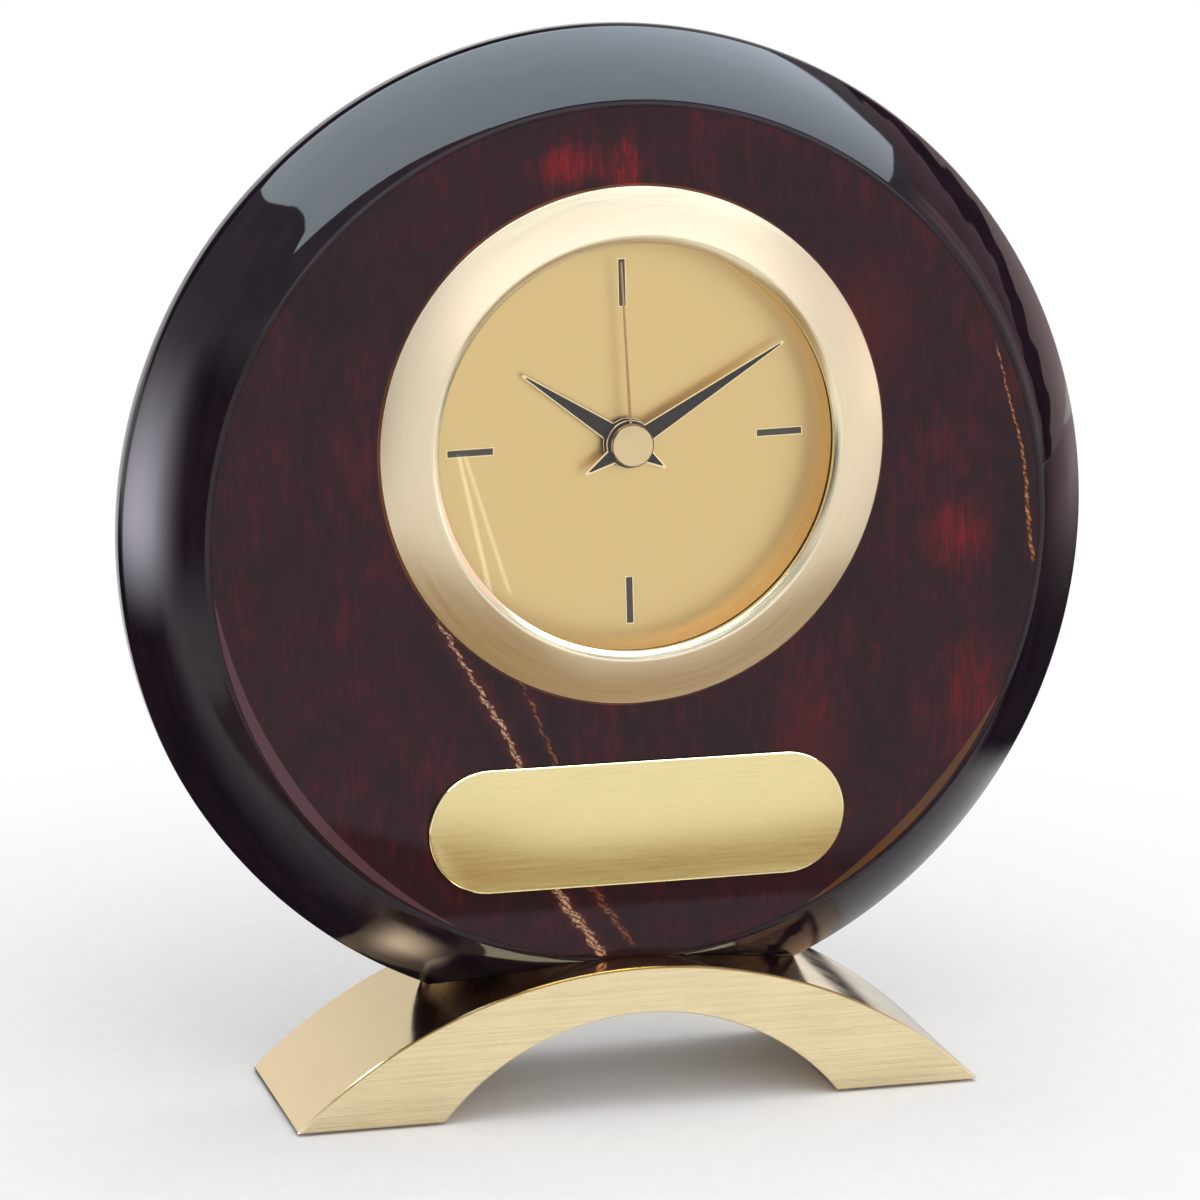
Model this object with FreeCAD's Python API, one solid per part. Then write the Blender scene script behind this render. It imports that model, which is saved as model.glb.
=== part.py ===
import FreeCAD, Part
import math
import os

# A round desk clock: a bevelled wooden disc that leans back a little on a
# polished brass arch, with a round quartz insert pushed into its front.
# Lengths are in millimetres and angles in degrees. The front faces -Y.
# The origin lies under the middle of the base, on the table.

# Attitude of the wooden disc on its base, and of the insert in the disc
lean_back = 3.0
insert_turn = -1.3
head_set_forward = 7.5
seat_dip = 0.6
seat_gap = 0.05

# Brass arch
base_width = 117.0
base_depth = 35.0
arch_outer_radius = 83.2
arch_inner_radius = 43.3
crown_thickness = 7.9
arch_edge_break = 0.35

# Felt dots under the two feet
pad_radius = 5.0
pad_thickness = 0.5
pad_inset = 9.0

# Screws that hold the disc down from beneath
screw_spacing = 24.0
screw_shank_radius = 1.9
screw_length = 26.0
screw_head_radius = 3.4
screw_head_height = 2.4
screw_socket_radius = 1.5
screw_socket_sides = 6
screw_socket_depth = 1.3
screw_seat_drop = 6.8
washer_radius = 3.8
washer_thickness = 0.8
counterbore_gap = 0.4
screw_hole_gap = 0.3
pilot_gap = 0.05

# Wooden disc
disc_radius = 82.5
disc_thickness = 18.0
face_radius = 70.8
bevel_depth = 13.3
face_arris = 1.2
bevel_foot_round = 3.0
back_arris = 1.5
bore_radius = 39.0

# Rosewood veneer on the face, inside a narrow black margin
veneer_thickness = 0.6
veneer_margin = 0.8
veneer_gap = 0.05

# Engraving plate on the face
plate_length = 71.0
plate_height = 20.6
plate_thickness = 0.8
plate_edge_break = 0.3
plate_drop = 47.4
plate_shift = 0.5
adhesive_thickness = 0.15
adhesive_inset = 0.8

# Insert: bezel, lens and dial. Depths are measured back from the disc's face
insert_rise = 15.0
bezel_radius = 42.35
bezel_edge = 0.6
bezel_edge_round = 0.2
bezel_rise = 3.9
bezel_crest_radius = 34.7
bezel_opening_radius = 33.3
bezel_lip_height = 2.9
bezel_round = 0.5
bezel_skirt_depth = 3.0
bezel_skirt_wall = 1.05
lens_radius = 34.85
lens_front = 1.9
lens_thickness = 1.6
slip_gap = 0.05
dial_ring_wall = 1.35
dial_depth = 4.8
dial_thickness = 0.5
dial_hole_radius = 4.1
marker_length = 8.0
marker_width = 1.4
marker_thickness = 0.12
marker_pitch_radius = 26.2
marker_count = 4

# Insert: black cup that carries the works
cup_radius = 38.0
cup_wall = 1.9
cup_floor = 1.5
cup_depth = 18.0
bush_radius = 3.95
bush_front = 4.4
post_radius = 2.2
screw_pilot_radius = 0.7
stator_post_radius = 2.0
boss_ring_radius = 33.6
boss_count = 3
boss_first_angle = 90.0

# Rubber band that grips the wood
band_gap = 0.02
band_radius = 38.9
band_base_radius = 38.45
band_front = 4.0
band_width = 7.0
band_rib_count = 3
band_rib_width = 1.0

# Arbors and running fits
running_gap = 0.05
arbor_radius = 0.4
seconds_arbor_radius = 0.45
motion_arbor_radius = 0.5
knob_arbor_radius = 1.0
knob_shaft_radius = 1.5
pivot_depth = 0.8

# Depths of the wheels, front face and thickness of each
hour_wheel_front = 7.1
motion_wheel_front = 8.4
centre_wheel_front = 9.8
third_wheel_front = 11.05
seconds_wheel_front = 12.25
transfer_wheel_front = 13.35
wheel_thickness = 0.8
motion_wheel_thickness = 1.0
pinion_overlap = 0.15

# Teeth of each wheel and pinion
rotor_teeth = 6
transfer_wheel_teeth = 36
transfer_pinion_teeth = 8
seconds_wheel_teeth = 40
seconds_pinion_teeth = 6
third_wheel_teeth = 45
third_pinion_teeth = 6
centre_wheel_teeth = 48
cannon_teeth = 10
motion_wheel_teeth = 30
motion_pinion_teeth = 8
hour_wheel_teeth = 32
knob_teeth = 10

# Tooth forms, as shares of the module and of the angle between teeth
wheel_tip_share = 0.95
wheel_root_share = 1.25
pinion_tip_share = 0.70
pinion_root_share = 1.30
wheel_tooth_shares = (0.25, 0.12)
pinion_tooth_shares = (0.19, 0.10)
most_pinion_teeth = 12

# Spacing of the arbors that mesh
third_arbor_spacing = 8.25
transfer_arbor_spacing = 8.4
magnet_arbor_spacing = 6.3
motion_arbor_spacing = 9.0
knob_arbor_spacing = 9.0

# Directions in which those arbors lie, seen from the front
third_direction = 180.0
transfer_direction = 90.0
rotor_direction = 60.0
motion_direction = 30.0
knob_direction = -20.0

# Tubes of the hands, nested about the seconds arbor
minute_tube_radius = 1.65
minute_tube_bore = 0.55
minute_tube_front = 1.7
minute_tube_back = 10.75
hour_tube_radius = 2.55
hour_tube_bore = 1.75
hour_tube_front = 3.0
hub_radius = 2.6
seconds_hub_radius = 1.5
hub_overhang = 0.15
seconds_arbor_front = 0.5

# Hands, as they stand at about ten past ten
hour_hand_angle = -55.0
minute_hand_angle = 60.0
seconds_hand_angle = -2.0
hour_hand_length = 21.3
hour_hand_tail = 7.7
hour_hand_width = 2.7
hour_hand_hub = 4.2
hour_hand_front = 3.3
minute_hand_length = 30.5
minute_hand_tail = 8.8
minute_hand_width = 2.5
minute_hand_hub = 4.0
minute_hand_front = 2.0
hand_thickness = 0.3
hand_tip_width = 0.35
tail_tip_width = 0.5
hand_fit_gap = 0.02
seconds_hand_length = 30.0
seconds_hand_width = 0.45
seconds_hand_hub = 1.6
seconds_hand_front = 1.1
seconds_hand_thickness = 0.2
cap_radius = 3.55
cap_front = 0.2
cap_depth = 0.9
cap_round = 0.35

# Bridge plate behind the wheels
bridge_front = 14.8
bridge_thickness = 1.0
bridge_top = 17.4
bridge_bottom = 13.4
bridge_gap = 0.3
bridge_post_places = ((-24.0, 13.0), (26.0, 10.0), (20.0, -9.5))
small_screw_radius = 0.6
small_screw_head_radius = 1.7
small_screw_head_height = 0.9
small_screw_length = 4.0
pilot_run_out = 1.0

# Stepping motor
magnet_radius = 3.0
magnet_front = 9.6
magnet_length = 3.0
magnet_fit_gap = 0.03
stator_front = 10.6
stator_thickness = 1.0
stator_hole_radius = 3.5
stator_left = 16.0
stator_right = 12.0
stator_leg_width = 4.0
stator_bottom = 9.8
stator_bar_top = 18.2
coil_height = 22.0
coil_left = 11.5
coil_right = 7.5
bobbin_radius = 3.7
bobbin_flange = 0.6
bobbin_wall = 0.5
winding_radius = 3.5
core_height = 2.4
core_thickness = 1.0
core_gap = 0.1
winding_gap = 0.03

# Circuit board with its quartz can and sealed chip
board_thickness = 0.9
board_left = 30.0
board_right = 12.0
board_bottom = 12.0
board_top = 8.0
can_radius = 1.0
can_length = 6.0
can_place = 26.0
chip_radius = 2.6
chip_crown_radius = 1.3
chip_height = 0.9
chip_place = 20.0

# Battery, its bay in the back cover and its contacts
battery_radius = 5.25
battery_body_length = 43.7
battery_nub_radius = 1.9
battery_nub_length = 0.8
battery_edge_round = 0.6
battery_drop = 20.5
bay_gap = 0.3
bay_end_room = 0.95
bay_wall = 0.9
bay_front = 7.0
bay_floor = 0.5
contact_thickness = 0.4
contact_width = 7.0
contact_height = 8.0
contact_bump_radius = 1.5
contact_gap = 0.1
cover_thickness = 1.5
cover_edge_break = 0.4
cover_screw_head_radius = 1.6
cover_screw_recess = 0.9

# Setting knob
knob_radius = 6.5
knob_thickness = 2.5
knob_lift = 0.2
knob_rib_count = 20
knob_rib_height = 0.5
knob_rib_shares = (0.0, 0.2, 0.6, 0.8)
knob_hub_radius = 2.5
knob_slot_width = 1.0
knob_slot_length = 7.8
knob_slot_depth = 0.6

# One overrun serves every cut
overrun = 1.0


# Sizes that follow from the ones above

def arc_rise(radius, span):
    """Height of a circle of this radius above its chord of this span."""
    return radius - math.sqrt(radius ** 2 - (span / 2) ** 2)


tilt = math.radians(lean_back)
arch_height = arc_rise(arch_outer_radius, base_width)
arch_centre_height = pad_thickness + arch_height - arch_outer_radius
inner_crown_height = pad_thickness + arch_height - crown_thickness
inner_centre_height = inner_crown_height - arch_inner_radius
inner_centre_drop = pad_thickness - inner_centre_height
arch_inner_half = math.sqrt(arch_inner_radius ** 2 - inner_centre_drop ** 2)
seat_height = pad_thickness + arch_height - seat_dip
head_height = seat_height + face_radius * math.cos(tilt)
veneer_radius = face_radius - veneer_margin
cup_inner_radius = cup_radius - cup_wall
floor_front = dial_depth + dial_thickness
floor_back = floor_front + cup_floor
bridge_back = bridge_front + bridge_thickness
cover_back = cup_depth + cover_thickness
arbor_front = floor_back - pivot_depth
arbor_back = bridge_back - running_gap
lens_back = lens_front - lens_thickness
battery_length = battery_body_length + battery_nub_length
bay_half_length = battery_length / 2 + bay_end_room
bay_half_height = battery_radius + bay_gap
bay_bottom_depth = bay_front + bay_floor
battery_depth = bay_bottom_depth + bay_gap + battery_radius
foot_middle = (base_width / 2 + arch_inner_half) / 2
screw_line = disc_thickness / 2 * math.cos(tilt) - face_radius * math.sin(tilt) - head_set_forward
screw_seat = pad_thickness + arch_height - screw_seat_drop


def polar(distance, direction, start=(0.0, 0.0)):
    """Place at a distance and direction, seen from the front, from a start."""
    angle = math.radians(direction)
    return (start[0] + distance * math.cos(angle), start[1] + distance * math.sin(angle))


centre_place = (0.0, 0.0)
third_place = polar(third_arbor_spacing, third_direction)
transfer_place = polar(transfer_arbor_spacing, transfer_direction)
rotor_place = polar(magnet_arbor_spacing, rotor_direction, transfer_place)
motion_place = polar(motion_arbor_spacing, motion_direction)
knob_place = polar(knob_arbor_spacing, knob_direction, motion_place)


def mesh_module(distance, teeth_a, teeth_b):
    """Module of two gears whose pitch circles touch at this distance."""
    return 2 * distance / (teeth_a + teeth_b)


rotor_module = mesh_module(magnet_arbor_spacing, rotor_teeth, transfer_wheel_teeth)
transfer_module = mesh_module(transfer_arbor_spacing, transfer_pinion_teeth, seconds_wheel_teeth)
third_module = mesh_module(third_arbor_spacing, seconds_pinion_teeth, third_wheel_teeth)
centre_module = mesh_module(third_arbor_spacing, third_pinion_teeth, centre_wheel_teeth)
motion_module = mesh_module(motion_arbor_spacing, cannon_teeth, motion_wheel_teeth)
hour_module = mesh_module(motion_arbor_spacing, motion_pinion_teeth, hour_wheel_teeth)
knob_module = mesh_module(knob_arbor_spacing, motion_wheel_teeth, knob_teeth)


# Helpers. The insert's own frame has its axis along Y through the origin.

def point(x, y, z):
    return FreeCAD.Vector(x, y, z)


along_depth = point(0, 1, 0)
along_width = point(1, 0, 0)
along_height = point(0, 0, 1)
origin = point(0, 0, 0)


def rod(radius, front, back, place=(0.0, 0.0)):
    """Round bar along Y from one depth to another."""
    start = point(place[0], front, place[1])
    return Part.makeCylinder(radius, back - front, start, along_depth)


def tube(outer, inner, front, back, place=(0.0, 0.0)):
    return rod(outer, front, back, place).cut(rod(inner, front - overrun, back + overrun, place))


def block(left, right, front, back, bottom, top):
    corner = point(left, front, bottom)
    return Part.makeBox(right - left, back - front, top - bottom, corner)


def outline_wire(corners, rounds):
    """Closed wire through corners in a plane, each rounded by its own radius."""
    edges = []
    starts = []
    ends = []
    count = len(corners)
    for index in range(count):
        here = corners[index]
        into = here - corners[index - 1]
        out = corners[(index + 1) % count] - here
        into.normalize()
        out.normalize()
        turn = into.getAngle(out)
        radius = rounds[index]
        if radius <= 0 or turn <= 0:
            starts.append(here)
            ends.append(here)
            continue
        reach = radius * math.tan(turn / 2)
        first = here - into * reach
        last = here + out * reach
        inward = out - into
        inward.normalize()
        middle = here + inward * (radius / math.cos(turn / 2) - radius)
        edges.append(Part.Arc(first, middle, last).toShape())
        starts.append(first)
        ends.append(last)
    for index in range(count):
        first = ends[index]
        last = starts[(index + 1) % count]
        edges.append(Part.LineSegment(first, last).toShape())
    return Part.Wire(Part.__sortEdges__(edges))


def turned(profile):
    """Solid turned about Y from a list of (radius, depth, corner radius)."""
    corners = [point(radius, depth, 0) for radius, depth, _ in profile]
    rounds = [corner for _, _, corner in profile]
    return Part.Face(outline_wire(corners, rounds)).revolve(origin, along_depth, 360)


def flat_shape(corners, front, back):
    """Plate between two depths with a straight-sided outline of (x, z) corners."""
    points = [point(x, front, z) for x, z in corners]
    return Part.Face(Part.makePolygon(points + [points[0]])).extrude(point(0, back - front, 0))


def stadium(length, height, front, back, centre):
    """Plate with half-round ends."""
    reach = length / 2 - height / 2
    middle = block(centre[0] - reach, centre[0] + reach, front, back,
                   centre[1] - height / 2, centre[1] + height / 2)
    left = rod(height / 2, front, back, (centre[0] - reach, centre[1]))
    right = rod(height / 2, front, back, (centre[0] + reach, centre[1]))
    return middle.fuse([left, right]).removeSplitter()


def spun(shape, angle, place=(0.0, 0.0)):
    """Turn clockwise, seen from the front, about a line along Y."""
    turned_shape = shape.copy()
    turned_shape.rotate(point(place[0], 0, place[1]), along_depth, angle)
    return turned_shape


def place_on_disc(shape):
    """From the frame of the disc's face to its leaning place on the base."""
    placed = shape.copy()
    placed.rotate(origin, along_width, -lean_back)
    placed.translate(point(0, -head_set_forward, head_height))
    return placed


def place_in_insert(shape):
    """From the insert's own frame to its place in the disc."""
    placed = spun(shape, insert_turn)
    placed.translate(point(0, 0, insert_rise))
    return place_on_disc(placed)


def export(name, shape):
    solids = shape.Solids
    if len(solids) == 1:
        shape = solids[0]
    else:
        shape = Part.makeCompound(solids)
    shape.exportStep("parts/" + name + ".step")
    print(name, "solids", len(solids), "volume", round(shape.Volume, 3), "valid", shape.isValid())


# Toothed wheels

def gear_outline(teeth, module, phase):
    """Corners of a gear; phase is the direction of the middle of one tooth."""
    pitch_radius = teeth * module / 2
    tip_share = wheel_tip_share
    root_share = wheel_root_share
    shares = wheel_tooth_shares
    if teeth <= most_pinion_teeth:
        tip_share = pinion_tip_share
        root_share = pinion_root_share
        shares = pinion_tooth_shares
    tip_radius = pitch_radius + module * tip_share
    root_radius = pitch_radius - module * root_share
    step = 360.0 / teeth
    corners = []
    for tooth in range(teeth):
        middle = phase + step * tooth
        corners.append(polar(root_radius, middle - step * shares[0]))
        corners.append(polar(tip_radius, middle - step * shares[1]))
        corners.append(polar(tip_radius, middle + step * shares[1]))
        corners.append(polar(root_radius, middle + step * shares[0]))
    return corners


def gear(teeth, module, phase, front, back, place):
    corners = [(place[0] + x, place[1] + z) for x, z in gear_outline(teeth, module, phase)]
    return flat_shape(corners, front, back)


def meshed_phase(teeth_a, phase_a, place_a, teeth_b, place_b):
    """Tooth phase of gear b whose gap meets a tooth of gear a."""
    direction = math.degrees(math.atan2(place_b[1] - place_a[1], place_b[0] - place_a[0]))
    step_a = 360.0 / teeth_a
    step_b = 360.0 / teeth_b
    return direction + 180.0 + step_b * (0.5 - (phase_a - direction) / step_a)


def bored(shape, radius, place, front, back):
    return shape.cut(rod(radius, front - overrun, back + overrun, place))


# Base

def build_base_arch():
    front = -base_depth / 2
    half = base_width / 2
    crown = pad_thickness + arch_height
    foot = pad_thickness
    outer_left = point(-half, front, foot)
    outer_right = point(half, front, foot)
    inner_left = point(-arch_inner_half, front, foot)
    inner_right = point(arch_inner_half, front, foot)
    edges = [
        Part.Arc(outer_left, point(0, front, crown), outer_right).toShape(),
        Part.LineSegment(outer_right, inner_right).toShape(),
        Part.Arc(inner_right, point(0, front, inner_crown_height), inner_left).toShape(),
        Part.LineSegment(inner_left, outer_left).toShape(),
    ]
    arch = Part.Face(Part.Wire(edges)).extrude(point(0, base_depth, 0))
    rims = [edge for edge in arch.Edges if edge.BoundBox.YLength < arch_edge_break]
    arch = arch.makeChamfer(arch_edge_break, rims)
    for side in (-1, 1):
        place = point(side * screw_spacing / 2, screw_line, 0)
        clear = Part.makeCylinder(screw_shank_radius + screw_hole_gap, crown + overrun, place, along_height)
        sunk = Part.makeCylinder(washer_radius + counterbore_gap, screw_seat, place, along_height)
        arch = arch.cut(clear).cut(sunk)
    return arch


def build_foot_pads():
    pads = []
    for side in (-1, 1):
        for end in (-1, 1):
            place = point(side * foot_middle, end * (base_depth / 2 - pad_inset), 0)
            pads.append(Part.makeCylinder(pad_radius, pad_thickness, place, along_height))
    return Part.makeCompound(pads)


def build_base_screws():
    screws = []
    head_top = screw_seat - washer_thickness
    for side in (-1, 1):
        place = point(side * screw_spacing / 2, screw_line, head_top - screw_head_height)
        head = Part.makeCylinder(screw_head_radius, screw_head_height, place, along_height)
        length = screw_head_height + screw_length
        shank = Part.makeCylinder(screw_shank_radius, length, place, along_height)
        corners = []
        for corner in range(screw_socket_sides):
            spot = polar(screw_socket_radius, 360.0 / screw_socket_sides * corner)
            corners.append(place + point(spot[0], spot[1], 0))
        socket = Part.Face(Part.makePolygon(corners + [corners[0]]))
        socket = socket.extrude(point(0, 0, screw_socket_depth))
        screws.append(head.fuse(shank).removeSplitter().cut(socket))
    return Part.makeCompound(screws)


def build_base_washers():
    washers = []
    for side in (-1, 1):
        place = point(side * screw_spacing / 2, screw_line, screw_seat - washer_thickness)
        outer = Part.makeCylinder(washer_radius, washer_thickness, place, along_height)
        inner = Part.makeCylinder(screw_shank_radius + pilot_gap, washer_thickness, place, along_height)
        washers.append(outer.cut(inner))
    return Part.makeCompound(washers)


# Wooden disc, built about its own axis and then leant back

def bore_of_disc(front, back):
    return rod(bore_radius, front - overrun, back + overrun, (0.0, insert_rise))


def build_case_body():
    recess = veneer_radius + veneer_gap
    disc = turned([
        (0, veneer_thickness, 0),
        (recess, veneer_thickness, 0),
        (recess, 0, 0),
        (face_radius, 0, face_arris),
        (disc_radius, bevel_depth, bevel_foot_round),
        (disc_radius, disc_thickness, back_arris),
        (0, disc_thickness, 0),
    ])
    disc = place_on_disc(disc.cut(bore_of_disc(0, disc_thickness)))
    start = point(0, -base_depth, arch_centre_height)
    saddle = Part.makeCylinder(arch_outer_radius + seat_gap, base_depth * 2, start, along_depth)
    disc = disc.cut(saddle)
    for side in (-1, 1):
        place = point(side * screw_spacing / 2, screw_line, screw_seat)
        pilot = Part.makeCylinder(screw_shank_radius + pilot_gap, screw_length, place, along_height)
        disc = disc.cut(pilot)
    return disc


def build_face_veneer():
    sheet = rod(veneer_radius, 0, veneer_thickness).cut(bore_of_disc(0, veneer_thickness))
    sheet = place_on_disc(sheet)
    start = point(0, -base_depth, arch_centre_height)
    saddle = Part.makeCylinder(arch_outer_radius + seat_gap, base_depth * 2, start, along_depth)
    return sheet.cut(saddle)


def build_name_plate():
    back = -adhesive_thickness
    front = back - plate_thickness
    plate = stadium(plate_length, plate_height, front, back, (plate_shift, -plate_drop))
    rim = [edge for edge in plate.Edges if edge.BoundBox.YMax < front + plate_edge_break]
    return place_on_disc(plate.makeChamfer(plate_edge_break, rim))


def build_plate_adhesive():
    shrink = adhesive_inset * 2
    film = stadium(plate_length - shrink, plate_height - shrink, -adhesive_thickness, 0,
                   (plate_shift, -plate_drop))
    return place_on_disc(film)


# Insert: what shows from the front

def build_bezel():
    seat = lens_radius + slip_gap
    skirt = seat + bezel_skirt_wall
    return turned([
        (bezel_radius, 0, 0),
        (bezel_radius, -bezel_edge, bezel_edge_round),
        (bezel_crest_radius, -bezel_rise, bezel_round),
        (bezel_opening_radius, -bezel_lip_height, 0),
        (bezel_opening_radius, -lens_front, 0),
        (seat, -lens_front, 0),
        (seat, bezel_skirt_depth, 0),
        (skirt, bezel_skirt_depth, 0),
        (skirt, 0, 0),
    ])


def build_dial():
    plate = rod(cup_inner_radius - bridge_gap, dial_depth, floor_front)
    return bored(plate, dial_hole_radius, centre_place, dial_depth, floor_front)


def build_hour_markers():
    markers = []
    first = marker_pitch_radius - marker_length / 2
    for index in range(marker_count):
        bar = block(-marker_width / 2, marker_width / 2, dial_depth - marker_thickness, dial_depth,
                    first, first + marker_length)
        markers.append(spun(bar, 360.0 / marker_count * index))
    return Part.makeCompound(markers)


def boss_places():
    step = 360.0 / boss_count
    return [polar(boss_ring_radius, boss_first_angle + step * index) for index in range(boss_count)]


def stator_post_places():
    inset = stator_leg_width / 2
    return [(-stator_left + inset, coil_height), (stator_right - inset, coil_height)]


def build_insert_case():
    cup = turned([
        (cup_inner_radius, 0, 0),
        (cup_radius, 0, 0),
        (cup_radius, cup_depth, 0),
        (cup_inner_radius, cup_depth, 0),
        (cup_inner_radius, floor_back, 0),
        (0, floor_back, 0),
        (0, floor_front, 0),
        (cup_inner_radius, floor_front, 0),
    ])
    cup = cup.fuse(rod(bush_radius, bush_front, floor_front))
    for place in bridge_post_places:
        cup = cup.fuse(rod(post_radius, floor_back, bridge_front, place))
    for place in stator_post_places():
        cup = cup.fuse(rod(stator_post_radius, floor_back, stator_front, place))
    for place in boss_places():
        cup = cup.fuse(rod(post_radius, floor_back, cup_depth, place))
    cup = bored(cup, hour_tube_radius + running_gap, centre_place, bush_front, floor_back)
    for place in bridge_post_places:
        pilot_front = bridge_back - small_screw_length - pilot_run_out
        cup = cup.cut(rod(screw_pilot_radius, pilot_front, bridge_front + overrun, place))
    for place in stator_post_places():
        pilot_front = core_depth() + core_thickness - small_screw_length - pilot_run_out
        cup = cup.cut(rod(screw_pilot_radius, pilot_front, stator_front + overrun, place))
    for place in boss_places():
        pilot_front = cover_back - cover_screw_recess - small_screw_length - pilot_run_out
        cup = cup.cut(rod(screw_pilot_radius, pilot_front, cup_depth + overrun, place))
    for radius, place in pivot_list():
        hole = rod(radius + running_gap, arbor_front - running_gap, floor_back + overrun, place)
        cup = cup.cut(hole)
    return cup.removeSplitter()


def pivot_list():
    return [
        (arbor_radius, third_place),
        (arbor_radius, transfer_place),
        (arbor_radius, rotor_place),
        (motion_arbor_radius, motion_place),
        (knob_arbor_radius, knob_place),
    ]


def build_grip_band():
    bore = cup_radius + band_gap
    band = tube(band_base_radius, bore, band_front, band_front + band_width)
    step = (band_width - band_rib_width) / (band_rib_count - 1)
    for index in range(band_rib_count):
        front = band_front + step * index
        band = band.fuse(tube(band_radius, bore, front, front + band_rib_width))
    return band.removeSplitter()


# Insert: the works

def build_bridge_plate():
    plate = rod(cup_inner_radius - bridge_gap, bridge_front, bridge_back)
    keep = block(-cup_radius, cup_radius, bridge_front, bridge_back, -bridge_bottom, bridge_top)
    plate = plate.common(keep)
    holes = [(arbor_radius, third_place), (arbor_radius, transfer_place), (arbor_radius, rotor_place),
             (motion_arbor_radius, motion_place), (knob_shaft_radius, knob_place),
             (seconds_arbor_radius, centre_place)]
    for radius, place in holes:
        plate = bored(plate, radius + running_gap, place, bridge_front, bridge_back)
    for place in bridge_post_places:
        plate = bored(plate, screw_pilot_radius, place, bridge_front, bridge_back)
    return plate


def small_screw(seat, place, head_radius):
    """Screw driven forward, with its head behind the seat."""
    head = rod(head_radius, seat, seat + small_screw_head_height, place)
    shank = rod(small_screw_radius, seat - small_screw_length, seat + small_screw_head_height, place)
    return head.fuse(shank).removeSplitter()


def build_bridge_screws():
    screws = [small_screw(bridge_back, place, small_screw_head_radius) for place in bridge_post_places]
    return Part.makeCompound(screws)


def build_stator():
    front = stator_front
    back = stator_front + stator_thickness
    bar = block(-stator_left, stator_right, front, back, stator_bottom, stator_bar_top)
    leg_top = coil_height + stator_leg_width / 2
    left = block(-stator_left, -stator_left + stator_leg_width, front, back, stator_bottom, leg_top)
    right = block(stator_right - stator_leg_width, stator_right, front, back, stator_bottom, leg_top)
    plate = bar.fuse([left, right]).removeSplitter()
    plate = bored(plate, stator_hole_radius, rotor_place, front, back)
    for place in stator_post_places():
        plate = bored(plate, screw_pilot_radius, place, front, back)
    return plate


def core_depth():
    return stator_front + stator_thickness


def build_coil_core():
    front = core_depth()
    back = front + core_thickness
    bar = block(-stator_left, stator_right, front, back,
                coil_height - core_height / 2, coil_height + core_height / 2)
    for place in stator_post_places():
        bar = bored(bar, screw_pilot_radius, place, front, back)
    return bar


def build_stator_screws():
    seat = core_depth() + core_thickness
    screws = [small_screw(seat, place, core_height / 2) for place in stator_post_places()]
    return Part.makeCompound(screws)


def coil_ring(outer, inner, left, right):
    """Ring about the coil's own axis, which runs left to right."""
    start = point(left, core_depth() + core_thickness / 2, coil_height)
    ring = Part.makeCylinder(outer, right - left, start, along_width)
    if inner <= 0:
        return ring
    return ring.cut(Part.makeCylinder(inner, right - left, start, along_width))


def build_coil_bobbin():
    flange_in_left = -coil_left + bobbin_flange
    flange_in_right = coil_right - bobbin_flange
    core_corner = math.hypot(core_height / 2, core_thickness / 2)
    spool_radius = core_corner + bobbin_wall
    spool = coil_ring(spool_radius, 0, -coil_left, coil_right)
    left = coil_ring(bobbin_radius, 0, -coil_left, flange_in_left)
    right = coil_ring(bobbin_radius, 0, flange_in_right, coil_right)
    spool = spool.fuse([left, right])
    half = core_height / 2 + core_gap
    hole = block(-coil_left - overrun, coil_right + overrun, core_depth() - core_gap,
                 core_depth() + core_thickness + core_gap, coil_height - half, coil_height + half)
    return spool.cut(hole).removeSplitter()


def build_coil_winding():
    core_corner = math.hypot(core_height / 2, core_thickness / 2)
    inner = core_corner + bobbin_wall + winding_gap
    return coil_ring(winding_radius, inner, -coil_left + bobbin_flange, coil_right - bobbin_flange)


def build_circuit_board():
    front = bridge_front - board_thickness
    return block(-board_left, -board_right, front, bridge_front, -board_bottom, board_top)


def build_quartz_crystal():
    middle = bridge_front - board_thickness - can_radius
    start = point(-can_place, middle, -can_length)
    return Part.makeCylinder(can_radius, can_length, start, along_height)


def build_driver_chip():
    back = bridge_front - board_thickness
    return turned([
        (0, back - chip_height, 0),
        (chip_crown_radius, back - chip_height, 0),
        (chip_radius, back, 0),
        (0, back, 0),
    ]).translated(point(-chip_place, 0, 0))


def build_back_cover():
    cover = turned([
        (0, cup_depth, 0),
        (cup_radius, cup_depth, 0),
        (cup_radius, cover_back, cover_edge_break),
        (0, cover_back, 0),
    ])
    outer_length = bay_half_length + bay_wall
    outer_height = bay_half_height + bay_wall
    bay = block(-outer_length, outer_length, bay_front, cup_depth,
                -battery_drop - outer_height, -battery_drop + outer_height)
    bay = bay.common(rod(cup_inner_radius - bridge_gap, bay_front, cup_depth))
    cover = cover.fuse(bay).removeSplitter()
    hollow = block(-bay_half_length, bay_half_length, bay_bottom_depth, cover_back + overrun,
                   -battery_drop - bay_half_height, -battery_drop + bay_half_height)
    cover = cover.cut(hollow)
    cover = bored(cover, knob_hub_radius + running_gap, knob_place, cup_depth, cover_back)
    for place in boss_places():
        cover = bored(cover, screw_pilot_radius, place, cup_depth, cover_back)
        sunk = rod(cover_screw_head_radius + running_gap, cover_back - cover_screw_recess,
                   cover_back + overrun, place)
        cover = cover.cut(sunk)
    return cover


def build_cover_screws():
    seat = cover_back - cover_screw_recess
    screws = [small_screw(seat, place, cover_screw_head_radius) for place in boss_places()]
    return Part.makeCompound(screws)


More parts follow.
